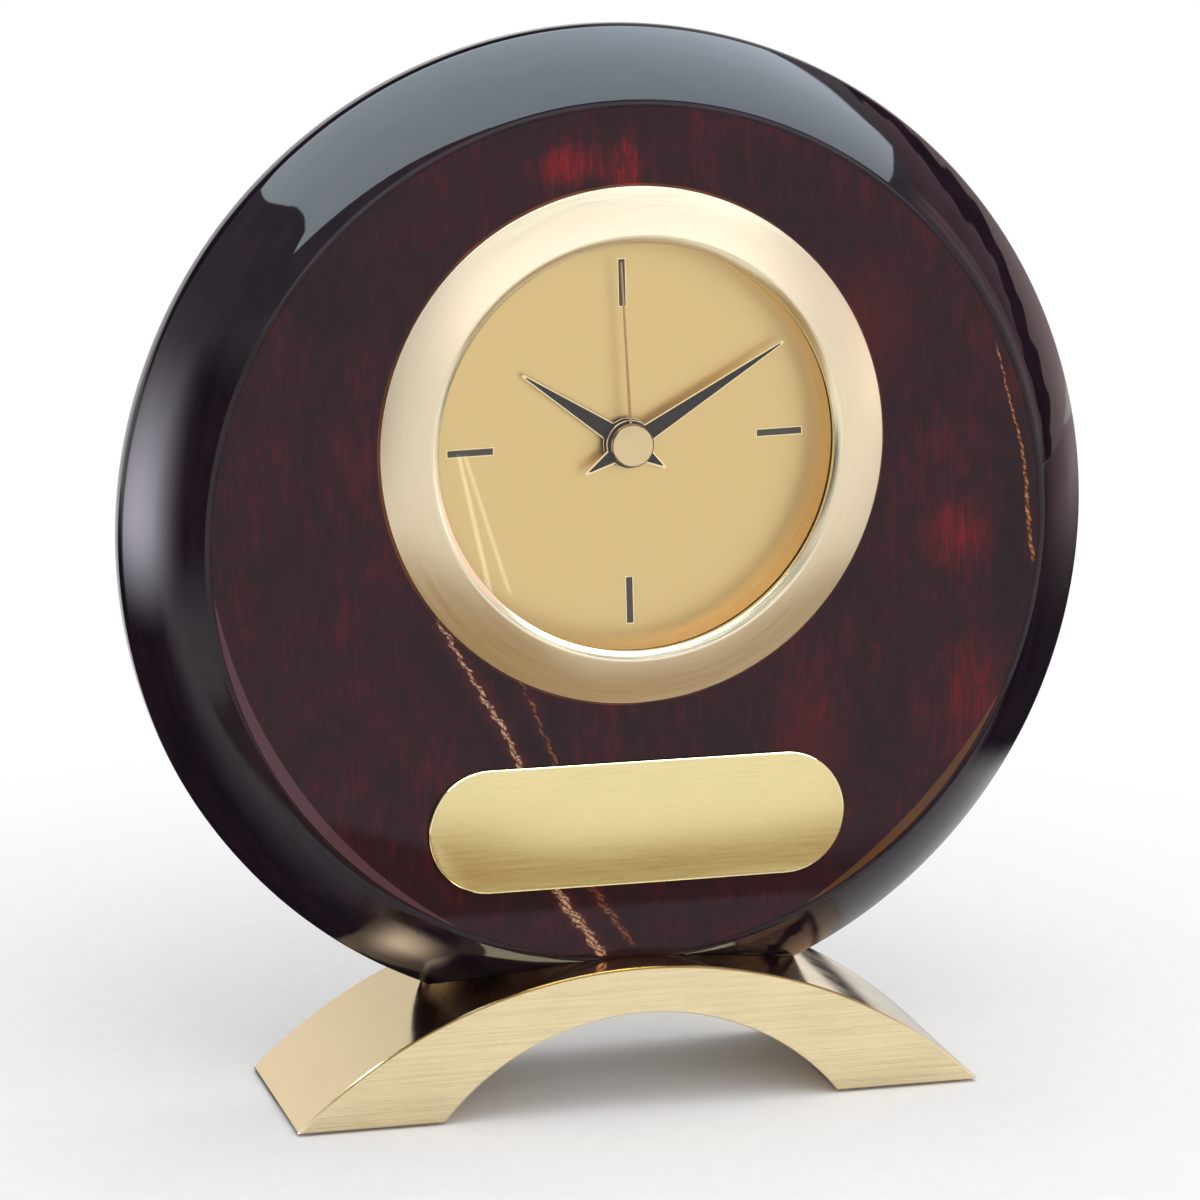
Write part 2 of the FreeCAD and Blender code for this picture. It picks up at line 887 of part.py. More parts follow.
def contact(side, bump_length):
    """Sheet contact at one end of the bay, with a round bump toward the cell."""
    wall = side * bay_half_length
    face = wall - side * contact_thickness
    left = min(wall, face)
    right = max(wall, face)
    half = contact_width / 2
    sheet = block(left, right, battery_depth - half, battery_depth + half,
                  -battery_drop - contact_height / 2, -battery_drop + contact_height / 2)
    start = point(face, battery_depth, -battery_drop)
    bump = Part.makeCylinder(contact_bump_radius, bump_length, start, along_width * -side)
    return sheet.fuse(bump).removeSplitter()


def build_contact_plate():
    bump = bay_end_room - contact_thickness - contact_gap
    return contact(1, bump)


def build_contact_spring():
    bump = bay_end_room - contact_thickness - contact_gap
    return contact(-1, bump)


def build_battery():
    half = battery_length / 2
    body_end = half - battery_nub_length
    cell = turned([
        (0, -half, 0),
        (battery_radius, -half, battery_edge_round),
        (battery_radius, body_end, battery_edge_round),
        (battery_nub_radius, body_end, 0),
        (battery_nub_radius, half, 0),
        (0, half, 0),
    ])
    cell.rotate(origin, along_height, -90)
    return cell.translated(point(0, battery_depth, -battery_drop))


def build_setting_knob():
    head_front = cover_back + knob_lift
    head_back = head_front + knob_thickness
    valley = knob_radius - knob_rib_height
    step = 360.0 / knob_rib_count
    corners = []
    for rib in range(knob_rib_count):
        for share, radius in zip(knob_rib_shares, (valley, knob_radius, knob_radius, valley)):
            corners.append(polar(radius, step * (rib + share), knob_place))
    head = flat_shape(corners, head_front, head_back)
    slot_half = knob_slot_length / 2
    slot = block(knob_place[0] - slot_half, knob_place[0] + slot_half,
                 head_back - knob_slot_depth, head_back + overrun,
                 knob_place[1] - knob_slot_width / 2, knob_place[1] + knob_slot_width / 2)
    head = head.cut(slot)
    hub = rod(knob_hub_radius, cup_depth, head_front, knob_place)
    shaft = rod(knob_shaft_radius, bridge_front - bridge_gap, cup_depth, knob_place)
    arbor = rod(knob_arbor_radius, arbor_front, bridge_front - bridge_gap, knob_place)
    phase = meshed_phase(motion_wheel_teeth, motion_wheel_phase, motion_place, knob_teeth, knob_place)
    front = motion_wheel_front - pinion_overlap
    back = motion_wheel_front + motion_wheel_thickness + pinion_overlap
    leaves = gear(knob_teeth, knob_module, phase, front, back, knob_place)
    return head.fuse([hub, shaft, arbor, leaves]).removeSplitter()


# The going train: rotor, transfer, seconds, third and centre wheels

seconds_wheel_phase = 0.0
seconds_pinion_phase = 0.0
transfer_wheel_phase = 0.0
third_pinion_phase = 0.0
cannon_phase = 0.0
motion_pinion_phase = 0.0
motion_wheel_phase = meshed_phase(cannon_teeth, cannon_phase, centre_place,
                                  motion_wheel_teeth, motion_place)


def build_rotor_magnet():
    ring = rod(magnet_radius, magnet_front, magnet_front + magnet_length, rotor_place)
    bore = arbor_radius + magnet_fit_gap
    return bored(ring, bore, rotor_place, magnet_front, magnet_front + magnet_length)


def build_rotor_arbor():
    phase = meshed_phase(transfer_wheel_teeth, transfer_wheel_phase, transfer_place,
                         rotor_teeth, rotor_place)
    front = transfer_wheel_front - pinion_overlap
    back = transfer_wheel_front + wheel_thickness + pinion_overlap
    leaves = gear(rotor_teeth, rotor_module, phase, front, back, rotor_place)
    return rod(arbor_radius, arbor_front, arbor_back, rotor_place).fuse(leaves)


def build_transfer_wheel():
    phase = meshed_phase(seconds_wheel_teeth, seconds_wheel_phase, centre_place,
                         transfer_pinion_teeth, transfer_place)
    front = seconds_wheel_front - pinion_overlap
    leaves = gear(transfer_pinion_teeth, transfer_module, phase, front, transfer_wheel_front, transfer_place)
    back = transfer_wheel_front + wheel_thickness
    wheel = gear(transfer_wheel_teeth, rotor_module, transfer_wheel_phase,
                 transfer_wheel_front, back, transfer_place)
    arbor = rod(arbor_radius, arbor_front, arbor_back, transfer_place)
    return arbor.fuse([leaves, wheel]).removeSplitter()


def build_seconds_wheel():
    pinion_front = third_wheel_front - pinion_overlap
    pinion_back = seconds_wheel_front
    leaves = gear(seconds_pinion_teeth, third_module, seconds_pinion_phase,
                  pinion_front, pinion_back, centre_place)
    back = seconds_wheel_front + wheel_thickness
    wheel = gear(seconds_wheel_teeth, transfer_module, seconds_wheel_phase,
                 seconds_wheel_front, back, centre_place)
    hub = rod(seconds_hub_radius, back, back + hub_overhang)
    arbor = rod(seconds_arbor_radius, seconds_arbor_front, arbor_back)
    return arbor.fuse([leaves, wheel, hub]).removeSplitter()


def build_third_wheel():
    phase = meshed_phase(seconds_pinion_teeth, seconds_pinion_phase, centre_place,
                         third_wheel_teeth, third_place)
    back = third_wheel_front + wheel_thickness
    wheel = gear(third_wheel_teeth, third_module, phase, third_wheel_front, back, third_place)
    front = centre_wheel_front - pinion_overlap
    leaves = gear(third_pinion_teeth, centre_module, third_pinion_phase,
                  front, third_wheel_front, third_place)
    arbor = rod(arbor_radius, arbor_front, arbor_back, third_place)
    return arbor.fuse([leaves, wheel]).removeSplitter()


def build_centre_wheel():
    phase = meshed_phase(third_pinion_teeth, third_pinion_phase, third_place,
                         centre_wheel_teeth, centre_place)
    back = centre_wheel_front + wheel_thickness
    wheel = gear(centre_wheel_teeth, centre_module, phase, centre_wheel_front, back, centre_place)
    hub = rod(hub_radius, centre_wheel_front - hub_overhang, centre_wheel_front)
    wheel = wheel.fuse(hub)
    bore = minute_tube_radius + running_gap
    return bored(wheel, bore, centre_place, centre_wheel_front, back).removeSplitter()


# The motion work: cannon pinion, motion wheel and hour wheel

def build_cannon_pinion():
    pipe = rod(minute_tube_radius, minute_tube_front, minute_tube_back)
    front = motion_wheel_front - pinion_overlap
    back = motion_wheel_front + motion_wheel_thickness + pinion_overlap
    leaves = gear(cannon_teeth, motion_module, cannon_phase, front, back, centre_place)
    pipe = pipe.fuse(leaves).removeSplitter()
    return bored(pipe, minute_tube_bore, centre_place, minute_tube_front, minute_tube_back)


def build_motion_wheel():
    back = motion_wheel_front + motion_wheel_thickness
    wheel = gear(motion_wheel_teeth, motion_module, motion_wheel_phase,
                 motion_wheel_front, back, motion_place)
    front = hour_wheel_front - pinion_overlap
    leaves = gear(motion_pinion_teeth, hour_module, motion_pinion_phase,
                  front, motion_wheel_front, motion_place)
    arbor = rod(motion_arbor_radius, arbor_front, arbor_back, motion_place)
    return arbor.fuse([leaves, wheel]).removeSplitter()


def build_hour_wheel():
    phase = meshed_phase(motion_pinion_teeth, motion_pinion_phase, motion_place,
                         hour_wheel_teeth, centre_place)
    back = hour_wheel_front + motion_wheel_thickness
    wheel = gear(hour_wheel_teeth, hour_module, phase, hour_wheel_front, back, centre_place)
    pipe = rod(hour_tube_radius, hour_tube_front, hour_wheel_front)
    pipe = pipe.fuse(wheel).removeSplitter()
    return bored(pipe, hour_tube_bore, centre_place, hour_tube_front, back)


# Hands: each points up, then turns to its place on the dial

def dagger(length, tail, width, hub, front, bore):
    """Blade that tapers from beside its hub to a fine tip, with a short tail."""
    back = front + hand_thickness
    blade = flat_shape([
        (-hand_tip_width / 2, length),
        (-width / 2, hub / 2),
        (-width / 2, -hub / 2),
        (-tail_tip_width / 2, -tail),
        (tail_tip_width / 2, -tail),
        (width / 2, -hub / 2),
        (width / 2, hub / 2),
        (hand_tip_width / 2, length),
    ], front, back)
    collar = rod(hub, front, back)
    return bored(blade.fuse(collar).removeSplitter(), bore, centre_place, front, back)


def build_hour_hand():
    hand = dagger(hour_hand_length, hour_hand_tail, hour_hand_width, hour_hand_hub,
                  hour_hand_front, hour_tube_radius + hand_fit_gap)
    return spun(hand, hour_hand_angle)


def build_minute_hand():
    hand = dagger(minute_hand_length, minute_hand_tail, minute_hand_width, minute_hand_hub,
                  minute_hand_front, minute_tube_radius + hand_fit_gap)
    return spun(hand, minute_hand_angle)


def build_seconds_hand():
    front = seconds_hand_front
    back = front + seconds_hand_thickness
    half = seconds_hand_width / 2
    needle = block(-half, half, front, back, 0, seconds_hand_length)
    needle = needle.fuse(rod(seconds_hand_hub, front, back)).removeSplitter()
    needle = bored(needle, seconds_arbor_radius + hand_fit_gap, centre_place, front, back)
    return spun(needle, seconds_hand_angle)


def build_hand_cap():
    cap = turned([
        (0, cap_front, 0),
        (cap_radius, cap_front, cap_round),
        (cap_radius, cap_front + cap_depth, 0),
        (0, cap_front + cap_depth, 0),
    ])
    hole = rod(seconds_arbor_radius + hand_fit_gap, seconds_arbor_front, cap_front + cap_depth + overrun)
    return cap.cut(hole)


# Write one file for each piece

base_and_disc = {
    "base_arch": build_base_arch,
    "foot_pads": build_foot_pads,
    "base_screws": build_base_screws,
    "base_washers": build_base_washers,
    "case_body": build_case_body,
    "face_veneer": build_face_veneer,
    "name_plate": build_name_plate,
    "plate_adhesive": build_plate_adhesive,
}

insert_pieces = {
    "bezel": build_bezel,
    "lens": lambda: rod(lens_radius, -lens_front, -lens_back),
    "dial_ring": lambda: tube(lens_radius, lens_radius - dial_ring_wall, -lens_back, dial_depth),
    "dial": build_dial,
    "hour_markers": build_hour_markers,
    "insert_case": build_insert_case,
    "grip_band": build_grip_band,
    "bridge_plate": build_bridge_plate,
    "bridge_screws": build_bridge_screws,
    "back_cover": build_back_cover,
    "cover_screws": build_cover_screws,
    "circuit_board": build_circuit_board,
    "quartz_crystal": build_quartz_crystal,
    "driver_chip": build_driver_chip,
    "coil_bobbin": build_coil_bobbin,
    "coil_winding": build_coil_winding,
    "coil_core": build_coil_core,
    "stator": build_stator,
    "stator_screws": build_stator_screws,
    "contact_plate": build_contact_plate,
    "contact_spring": build_contact_spring,
    "battery": build_battery,
    "setting_knob": build_setting_knob,
    "rotor_magnet": build_rotor_magnet,
    "rotor_arbor": build_rotor_arbor,
    "transfer_wheel": build_transfer_wheel,
    "seconds_wheel": build_seconds_wheel,
    "third_wheel": build_third_wheel,
    "centre_wheel": build_centre_wheel,
    "cannon_pinion": build_cannon_pinion,
    "motion_wheel": build_motion_wheel,
    "hour_wheel": build_hour_wheel,
    "hour_hand": build_hour_hand,
    "minute_hand": build_minute_hand,
    "seconds_hand": build_seconds_hand,
    "hand_cap": build_hand_cap,
}

os.makedirs("parts", exist_ok=True)
for name, build in base_and_disc.items():
    export(name, build())
for name, build in insert_pieces.items():
    export(name, place_in_insert(build()))

print("disc axis height", round(head_height, 4), "screw line", round(screw_line, 4))
for name, place in (("third", third_place), ("transfer", transfer_place), ("rotor", rotor_place),
                    ("motion", motion_place), ("knob", knob_place)):
    print(name, "arbor at", round(place[0], 4), round(place[1], 4))
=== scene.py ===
# %% [markdown]
# # A round desk clock on a brass arch
# A bevelled wooden disc under polished lacquer leans back a little on a brass
# arch. A quartz insert in satin gold is pushed into its front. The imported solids
# load first and stay where they are, and finer pieces are made over them.

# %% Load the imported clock
import bmesh
import bpy
import math
from mathutils import Matrix, Vector


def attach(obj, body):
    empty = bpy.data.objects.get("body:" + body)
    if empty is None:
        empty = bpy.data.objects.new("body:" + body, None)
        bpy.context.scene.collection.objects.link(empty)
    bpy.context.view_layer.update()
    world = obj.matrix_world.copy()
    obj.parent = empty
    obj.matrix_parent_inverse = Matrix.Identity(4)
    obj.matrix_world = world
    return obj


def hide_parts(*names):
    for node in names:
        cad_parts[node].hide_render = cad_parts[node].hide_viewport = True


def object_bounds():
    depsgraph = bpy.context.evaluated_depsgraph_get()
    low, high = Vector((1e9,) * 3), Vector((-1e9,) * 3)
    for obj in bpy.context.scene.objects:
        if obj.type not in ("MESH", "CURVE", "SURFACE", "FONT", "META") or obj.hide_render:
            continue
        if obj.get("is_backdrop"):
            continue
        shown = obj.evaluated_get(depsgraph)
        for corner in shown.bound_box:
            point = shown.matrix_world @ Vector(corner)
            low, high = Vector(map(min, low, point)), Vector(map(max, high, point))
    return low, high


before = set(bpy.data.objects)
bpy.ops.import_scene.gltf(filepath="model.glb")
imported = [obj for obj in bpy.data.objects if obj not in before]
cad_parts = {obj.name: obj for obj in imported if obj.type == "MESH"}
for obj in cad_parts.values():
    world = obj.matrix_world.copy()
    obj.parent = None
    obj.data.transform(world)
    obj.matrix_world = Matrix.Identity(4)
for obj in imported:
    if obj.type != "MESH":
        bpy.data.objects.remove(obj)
solid_low, solid_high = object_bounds()
scene = bpy.context.scene
scene.view_settings.view_transform = "Standard"

# %% [markdown]
# Sizes are easier to read in millimetres, so each shape is made in its own frame
# and a matrix puts it in the scene's metres: the stand, the leaning disc, or the
# insert, which sits 15 mm above the disc's middle and is turned a little.

# %% The three frames that shapes are made in
MM = 0.001
lean_back = 3.0
insert_turn = -1.3
head_forward = 7.5
head_height = 94.6423
insert_rise = 15.0


def shift(x, y, z):
    return Matrix.Translation((x, y, z))


def turned(angle, axis):
    """A turn about an axis through the origin, in degrees."""
    return Matrix.Rotation(math.radians(angle), 4, axis)


turn_flat = turned(90, "X")
stand_place = Matrix.Scale(MM, 4)
disc_place = stand_place @ shift(0, -head_forward, head_height) @ turned(-lean_back, "X")
insert_place = disc_place @ shift(0, 0, insert_rise) @ turned(insert_turn, "Y")
print("middle of the insert", [round(v, 4) for v in insert_place.translation])

# %% [markdown]
# ## The camera
# The photograph is taken from a little to the left and from above, through a long
# lens. The angles below came from fitting the outlines of the disc, the bezel
# and the base.

# %% Camera at the photograph's angle
camera_turn = math.radians(15.88)
camera_rise = math.radians(13.49)
camera_roll = math.radians(0.64)
camera_distance = 0.82994
camera_aim = Vector((-0.00566, -0.007545, 0.08451))
sensor = 36.0
focal_share = 5095.8 / 1200

back = Vector((-math.sin(camera_turn) * math.cos(camera_rise),
               -math.cos(camera_turn) * math.cos(camera_rise), math.sin(camera_rise)))
level = (-back).cross(Vector((0, 0, 1))).normalized()
upward = level.cross(-back).normalized()
across = level * math.cos(camera_roll) + upward * math.sin(camera_roll)
over = upward * math.cos(camera_roll) - level * math.sin(camera_roll)
camera_data = bpy.data.cameras.new("camera")
camera_data.sensor_width = sensor
camera_data.lens = sensor * focal_share
camera = bpy.data.objects.new("camera", camera_data)
turn = Matrix((across, over, back)).transposed().to_4x4()
camera.matrix_world = Matrix.Translation(camera_aim + back * camera_distance) @ turn
scene.collection.objects.link(camera)
scene.camera = camera
print("lens", round(camera_data.lens, 2), "mm")

# %% [markdown]
# ## Helpers for finishes
# A finish is a node tree. Patterns read Object coordinates, turned and scaled into
# the millimetres of the frame that the piece was made in, so grain and brushing
# keep their real size and direction.

# %% Node helpers
def new_finish(name, colour=(0.5, 0.5, 0.5), rough=0.5, metal=0.0, **sockets):
    """A material with its Principled shader set, and the tree to add to."""
    made = bpy.data.materials.new(name)
    made.use_nodes = True
    shader = made.node_tree.nodes["Principled BSDF"]
    shader.inputs["Base Color"].default_value = (*colour, 1)
    shader.inputs["Roughness"].default_value = rough
    shader.inputs["Metallic"].default_value = metal
    for socket, value in sockets.items():
        shader.inputs[socket.replace("_", " ")].default_value = value
    return made, made.node_tree, shader


def bare_finish(name):
    """A material with nothing on its surface yet, and the tree to add to."""
    made = bpy.data.materials.new(name)
    made.use_nodes = True
    made.node_tree.nodes.remove(made.node_tree.nodes["Principled BSDF"])
    return made, made.node_tree


def is_link(value):
    return isinstance(value, bpy.types.NodeSocket)


def drive(shader, socket, value):
    """Link a value to a socket of a node."""
    shader.id_data.links.new(value, shader.inputs[socket])


def add(kind, sockets=None, tree=None, **settings):
    """A node with values or links on its sockets. A link tells which tree it joins."""
    sockets = sockets or {}
    tree = tree or next(value.id_data for value in sockets.values() if is_link(value))
    made = tree.nodes.new("ShaderNode" + kind)
    for name, value in settings.items():
        setattr(made, name, value)
    for socket, value in sockets.items():
        if is_link(value):
            drive(made, socket, value)
        else:
            made.inputs[socket].default_value = value
    return made


def maths(operation, first, second=0.0, third=0.0):
    return add("Math", {0: first, 1: second, 2: third}, operation=operation).outputs[0]


def times(first, second):
    return maths("MULTIPLY", first, second)


def plus(first, second):
    return maths("ADD", first, second)


def minus(first, second):
    return maths("SUBTRACT", first, second)


def linear(value, factor, offset):
    return maths("MULTIPLY_ADD", value, factor, offset)


def vector(operation, first, second=(0, 0, 0), third=(0, 0, 0)):
    made = add("VectorMath", {0: first, 1: second, 2: third}, operation=operation)
    return made.outputs["Value" if operation == "LENGTH" else "Vector"]


def axes(where):
    """The X, Y and Z of a vector."""
    return add("SeparateXYZ", {0: where}).outputs


def plain_spots(tree):
    return add("TexCoord", tree=tree).outputs["Object"]


def in_mm(tree, place, stretch=(1, 1, 1)):
    """Object coordinates as millimetres of a frame, stretched along its axes."""
    spot, spin, size = place.inverted().decompose()
    moved = add("Mapping", {"Vector": plain_spots(tree), "Location": spot,
                            "Rotation": spin.to_euler(), "Scale": size}).outputs[0]
    if stretch == (1, 1, 1):
        return moved
    return add("Mapping", {"Vector": moved, "Scale": stretch}).outputs[0]


def noise(where, size=1.0, detail=2.0, rough=0.5, twist=0.0):
    """Noise with clouds of about this size."""
    return add("TexNoise", {"Vector": where, "Scale": 1 / size, "Detail": detail,
                            "Roughness": rough, "Distortion": twist}).outputs[0]


def shades(value, stops, steps="LINEAR"):
    """Colours along a value, as (position, colour) stops."""
    made = add("ValToRGB", {"Fac": value})
    made.color_ramp.interpolation = steps
    elements = made.color_ramp.elements
    while len(elements) < len(stops):
        elements.new(0.5)
    for element, (position, colour) in zip(elements, stops):
        element.position = position
        element.color = (*colour, 1) if hasattr(colour, "__len__") else (colour,) * 3 + (1,)
    return made.outputs[0]


def band(value, low, high, bottom=0.0, top=1.0):
    """A smooth step of value between low and high."""
    return add("MapRange", {"Value": value, "From Min": low, "From Max": high, "To Min": bottom,
                            "To Max": top}, interpolation_type="SMOOTHSTEP").outputs[0]


def fade(value, low, high):
    """A smooth step down from one to nothing."""
    return band(value, low, high, 1.0, 0.0)


def window(value, low, high, soft):
    """One between two limits, fading to nothing over a soft edge."""
    return times(band(value, low - soft, low + soft), fade(value, high - soft, high + soft))


def curve_through(value, dots):
    """A smooth curve through (x, y) dots, both from nothing to one."""
    made = add("FloatCurve", {"Value": value})
    points = made.mapping.curves[0].points
    for _ in dots[2:]:
        points.new(0.5, 0.5)
    for point, dot in zip(points, dots):
        point.location = dot
    made.mapping.update()
    return made.outputs[0]


def blend(share, first, second):
    """Two colours mixed, each a link or three numbers."""
    first, second = [value if is_link(value) else (*value, 1) for value in (first, second)]
    return add("Mix", {0: share, 6: first, 7: second}, data_type="RGBA").outputs[2]


def bump(shader, height, distance):
    """Relief of this many millimetres."""
    drive(shader, "Normal", add("Bump", {"Height": height, "Distance": distance * MM}).outputs[0])


def tint(shader, value, dark, pale, rough):
    """Colour and roughness that follow the middle part of a noise."""
    drive(shader, "Base Color", shades(value, [(0.3, dark), (0.7, pale)]))
    drive(shader, "Roughness", band(value, 0.3, 0.7, *rough))


def show_mix(share, first, second):
    """Send a mix of two shaders to the surface."""
    mixed = add("MixShader", {0: share, 1: first, 2: second}).outputs[0]
    drive(mixed.id_data.nodes["Material Output"], "Surface", mixed)


print("node helpers ready")

# %% [markdown]
# ## Brass
# The arch is solid brass. Its flat faces are brushed in long level strokes, and the
# curved faces are polished. Brushing is many fine grooves, so stretched noise drives
# colour, roughness and a shallow bump.

# %% Brushed and polished brass
def brushed(name, colour, place, stretch, rough=(0.24, 0.42), depth=0.006, wear=0.05):
    """Metal with strokes along the axes that stretch makes long."""
    made, tree, shader = new_finish(name, colour, 0.3, 1.0)
    strokes = noise(in_mm(tree, place, stretch), detail=3.0, rough=0.6)
    cloud = noise(in_mm(tree, place), size=14.0, detail=2.0)
    dark = tuple(v * (1 - 3.2 * wear) for v in colour)
    pale = tuple(min(1.0, v * (1 + 1.6 * wear)) for v in colour)
    tones = [shades(value, [(0.3, dark), (0.7, pale)]) for value in (strokes, cloud)]
    drive(shader, "Base Color", blend(0.25, *tones))
    drive(shader, "Roughness", band(strokes, 0.3, 0.7, *rough))
    bump(shader, strokes, depth)
    return made


def polished(name, colour, rough):
    """Mirror-like metal with slow clouds of wear."""
    made, tree, shader = new_finish(name, colour, rough, 1.0)
    cloud = noise(in_mm(tree, stand_place), size=9.0, detail=3.0)
    tint(shader, cloud, tuple(v * 0.95 for v in colour), colour, (rough * 0.7, rough * 1.6))
    return made


brass = (0.88, 0.74, 0.46)
arch_brushed = brushed("brass_brushed_level", brass, stand_place, (0.05, 1.0, 4.5), depth=0.016, wear=0.06)
arch_polished = polished("brass_polished", (0.90, 0.70, 0.41), 0.09)
# The bevelled edges are polished brass, and their paler colour is a painted highlight.
arch_edge_painted_highlight = polished("brass_edge_painted_highlight", (0.95, 0.80, 0.50), 0.12)
plate_brass = brushed("brass_plate_satin", (0.86, 0.725, 0.375), disc_place, (0.08, 1.0, 3.0),
                      (0.26, 0.34), 0.002, 0.02)
# The plate's bevelled rim is polished, and its paler colour is a painted highlight.
plate_edge_painted_highlight = polished("brass_plate_edge_painted_highlight", (0.98, 0.88, 0.52), 0.10)
print("brass finishes ready")

# %% [markdown]
# The bezel is satin gold, brushed round its axis on a lathe. The strokes are noise on
# the radius and on the direction from the axis, given as a unit vector so that the
# pattern has no seam.

# %% Gold turned on a lathe
def turned_gold(name, colour, place, rough=(0.2, 0.34), pitch=5.0, depth=0.005, wear=0.04):
    """Metal with strokes that run round the axis of a frame."""
    made, tree, shader = new_finish(name, colour, 0.3, 1.0)
    side, _, height = axes(in_mm(tree, place))
    flat = add("CombineXYZ", {0: side, 2: height}).outputs[0]
    radius = vector("LENGTH", flat)
    heading = vector("NORMALIZE", flat)
    steps = add("CombineXYZ", {1: times(radius, pitch)}).outputs[0]
    swept = vector("MULTIPLY_ADD", heading, (3.0, 3.0, 3.0), steps)
    strokes = noise(swept, detail=3.0, rough=0.6)
    dark = tuple(v * (1 - 3 * wear) for v in colour)
    pale = tuple(min(1.0, v * (1 + wear)) for v in colour)
    tint(shader, strokes, dark, pale, rough)
    bump(shader, strokes, depth)
    return made


gold = (0.83, 0.705, 0.505)
bezel_gold = turned_gold("gold_bezel", gold, insert_place, (0.28, 0.38), 8.0, 0.004, 0.025)
# The lip that drops to the lens is polished, and its paler gold is a painted highlight.
lip_gold_painted_highlight = turned_gold("gold_lip_painted_highlight", (0.95, 0.84, 0.60), insert_place, (0.16, 0.26), depth=0.002)
dial_gold = turned_gold("gold_dial", (0.81, 0.60, 0.27), insert_place, (0.34, 0.40), 2.0, 0.0006, 0.01)
ring_gold = turned_gold("gold_dial_ring", (0.80, 0.56, 0.25), insert_place, (0.2, 0.3), depth=0.002)
cap_gold = polished("gold_cap", (0.76, 0.59, 0.33), 0.16)
gilt = polished("gilt_edge", (0.95, 0.80, 0.48), 0.2)
print("gold finishes ready")

# %% [markdown]
# ## Lacquered wood
# The body is near black and the face is rosewood, both under clear lacquer polished
# like a piano's. The lacquer is a coat over the wood's own colour. The wood has fine
# upright streaks, clouds of wine red, a few bright red patches, and bark-like tan
# strands that cross the lower left and the right edge.

# %% Black lacquer of the body
def lacquered(name, bend):
    """Matte wood under a clear coat that bends light this much."""
    return new_finish(name, (0.008, 0.006, 0.008), 0.5, 0.0, Coat_Weight=1.0,
                      Coat_Roughness=0.03, Coat_IOR=bend, Specular_IOR_Level=0.0)


def stained(name, bend, stretch, size, dark, pale):
    """Lacquer over a stain that clouds between two near blacks."""
    made, tree, shader = lacquered(name, bend)
    cloud = noise(in_mm(tree, disc_place, stretch), size=size, detail=4.0)
    drive(shader, "Base Color", shades(cloud, [(0.35, dark), (0.75, pale)]))
    return made


body_lacquer = stained("lacquer_black", 1.4, (0.4, 1.0, 0.08), 2.0,
                       (0.008, 0.005, 0.009), (0.020, 0.009, 0.017))
margin_lacquer = stained("lacquer_margin", 1.29, (1, 1, 1), 6.0,
                         (0.012, 0.007, 0.009), (0.040, 0.014, 0.018))
print("black lacquer ready")

# %% Rosewood of the face
def spot(where, centre, size):
    """A soft patch round a place on the face."""
    gap = vector("SUBTRACT", where, centre)
    reach = vector("LENGTH", vector("DIVIDE", gap, size))
    return fade(reach, 0.1, 1.0)


def strand(where, path, width, wander, fray, loose=1.0):
    """A twisted, bark-like strand along a path of (height, side) points of the face."""
    side, _, height = axes(where)
    top, bottom = path[0][0], path[-1][0]
    reach = 100.0
    share = maths("DIVIDE", minus(height, bottom), top - bottom)
    curve = curve_through(share, [((up - bottom) / (top - bottom), off / (2 * reach) + 0.5)
                                  for up, off in sorted(path)])
    middle = times(minus(curve, 0.5), 2 * reach)
    gap = minus(side, middle)
    gap = plus(gap, linear(wander, 3.0 * loose, -1.5 * loose))
    turns = linear(height, 2.1, times(fray, 9.0))
    gap = plus(gap, times(maths("SINE", turns), 0.28 * loose))
    thick = band(share, 0.2, 1.0, 1.0, 0.45)
    off_line = maths("DIVIDE", maths("ABSOLUTE", gap), thick)
    near = fade(off_line, width * 0.35, width)
    skew = linear(gap, 5.0, times(height, 5.2))
    plies = maths("SINE", linear(fray, 14.0, skew))
    near = times(near, band(plies, -0.9, 0.3, 0.12, 1.0))
    upper = fade(height, top, top + 2.0)
    lower = band(height, bottom - 2.0, bottom)
    inside = times(upper, lower)
    glow = band(maths("ABSOLUTE", gap), 0.5, 2.6, 0.35, 0.0)
    return times(near, inside), times(glow, inside)


def crescent(where, side, height, limit):
    """The part of the face beyond a circle about another middle."""
    gap = vector("SUBTRACT", where, (side, 0, height))
    reach = vector("LENGTH", vector("MULTIPLY", gap, (1, 0, 1)))
    return band(reach, limit - 0.1, limit + 0.1)


face_rosewood, tree, shader = lacquered("lacquer_rosewood", 1.29)
face = in_mm(tree, disc_place)
streaks = noise(in_mm(tree, disc_place, (1.6, 1.0, 0.15)), detail=4.0, rough=0.65)
blotches = noise(in_mm(tree, disc_place, (0.42, 1.0, 0.20)), detail=5.0, rough=0.65)
clouds = noise(in_mm(tree, disc_place, (0.060, 1.0, 0.038)), detail=3.0, rough=0.6, twist=0.4)
grain = linear(streaks, 0.38, times(clouds, 0.42))
grain = linear(blotches, 0.40, grain)
specks = noise(in_mm(tree, disc_place, (2.8, 1.0, 1.3)), detail=2.0, rough=0.7)
grain = linear(specks, 0.20, minus(grain, 0.125))
wood = shades(grain, [(0.50, (0.020, 0.009, 0.012)), (0.60, (0.032, 0.009, 0.013)),
                      (0.70, (0.062, 0.009, 0.014)), (0.84, (0.125, 0.011, 0.016))])
red_patches = [((-1.0, 0, 60.5), (3.2, 50, 9), 1.0), ((-9, 0, 61), (11, 50, 4.5), 0.85),
               ((59, 0, -27), (7, 50, 12), 0.6), ((40, 0, 34), (12, 50, 16), 0.15),
               ((55, 0, -2), (9, 50, 8), 0.45), ((30, 0, -38), (10, 50, 18), 0.12)]
for centre, size, strength in red_patches:
    patch = spot(face, centre, size)
    patch = times(patch, band(grain, 0.50, 0.78, 0.1, strength))
    wood = blend(patch, wood, (0.32, 0.010, 0.016))
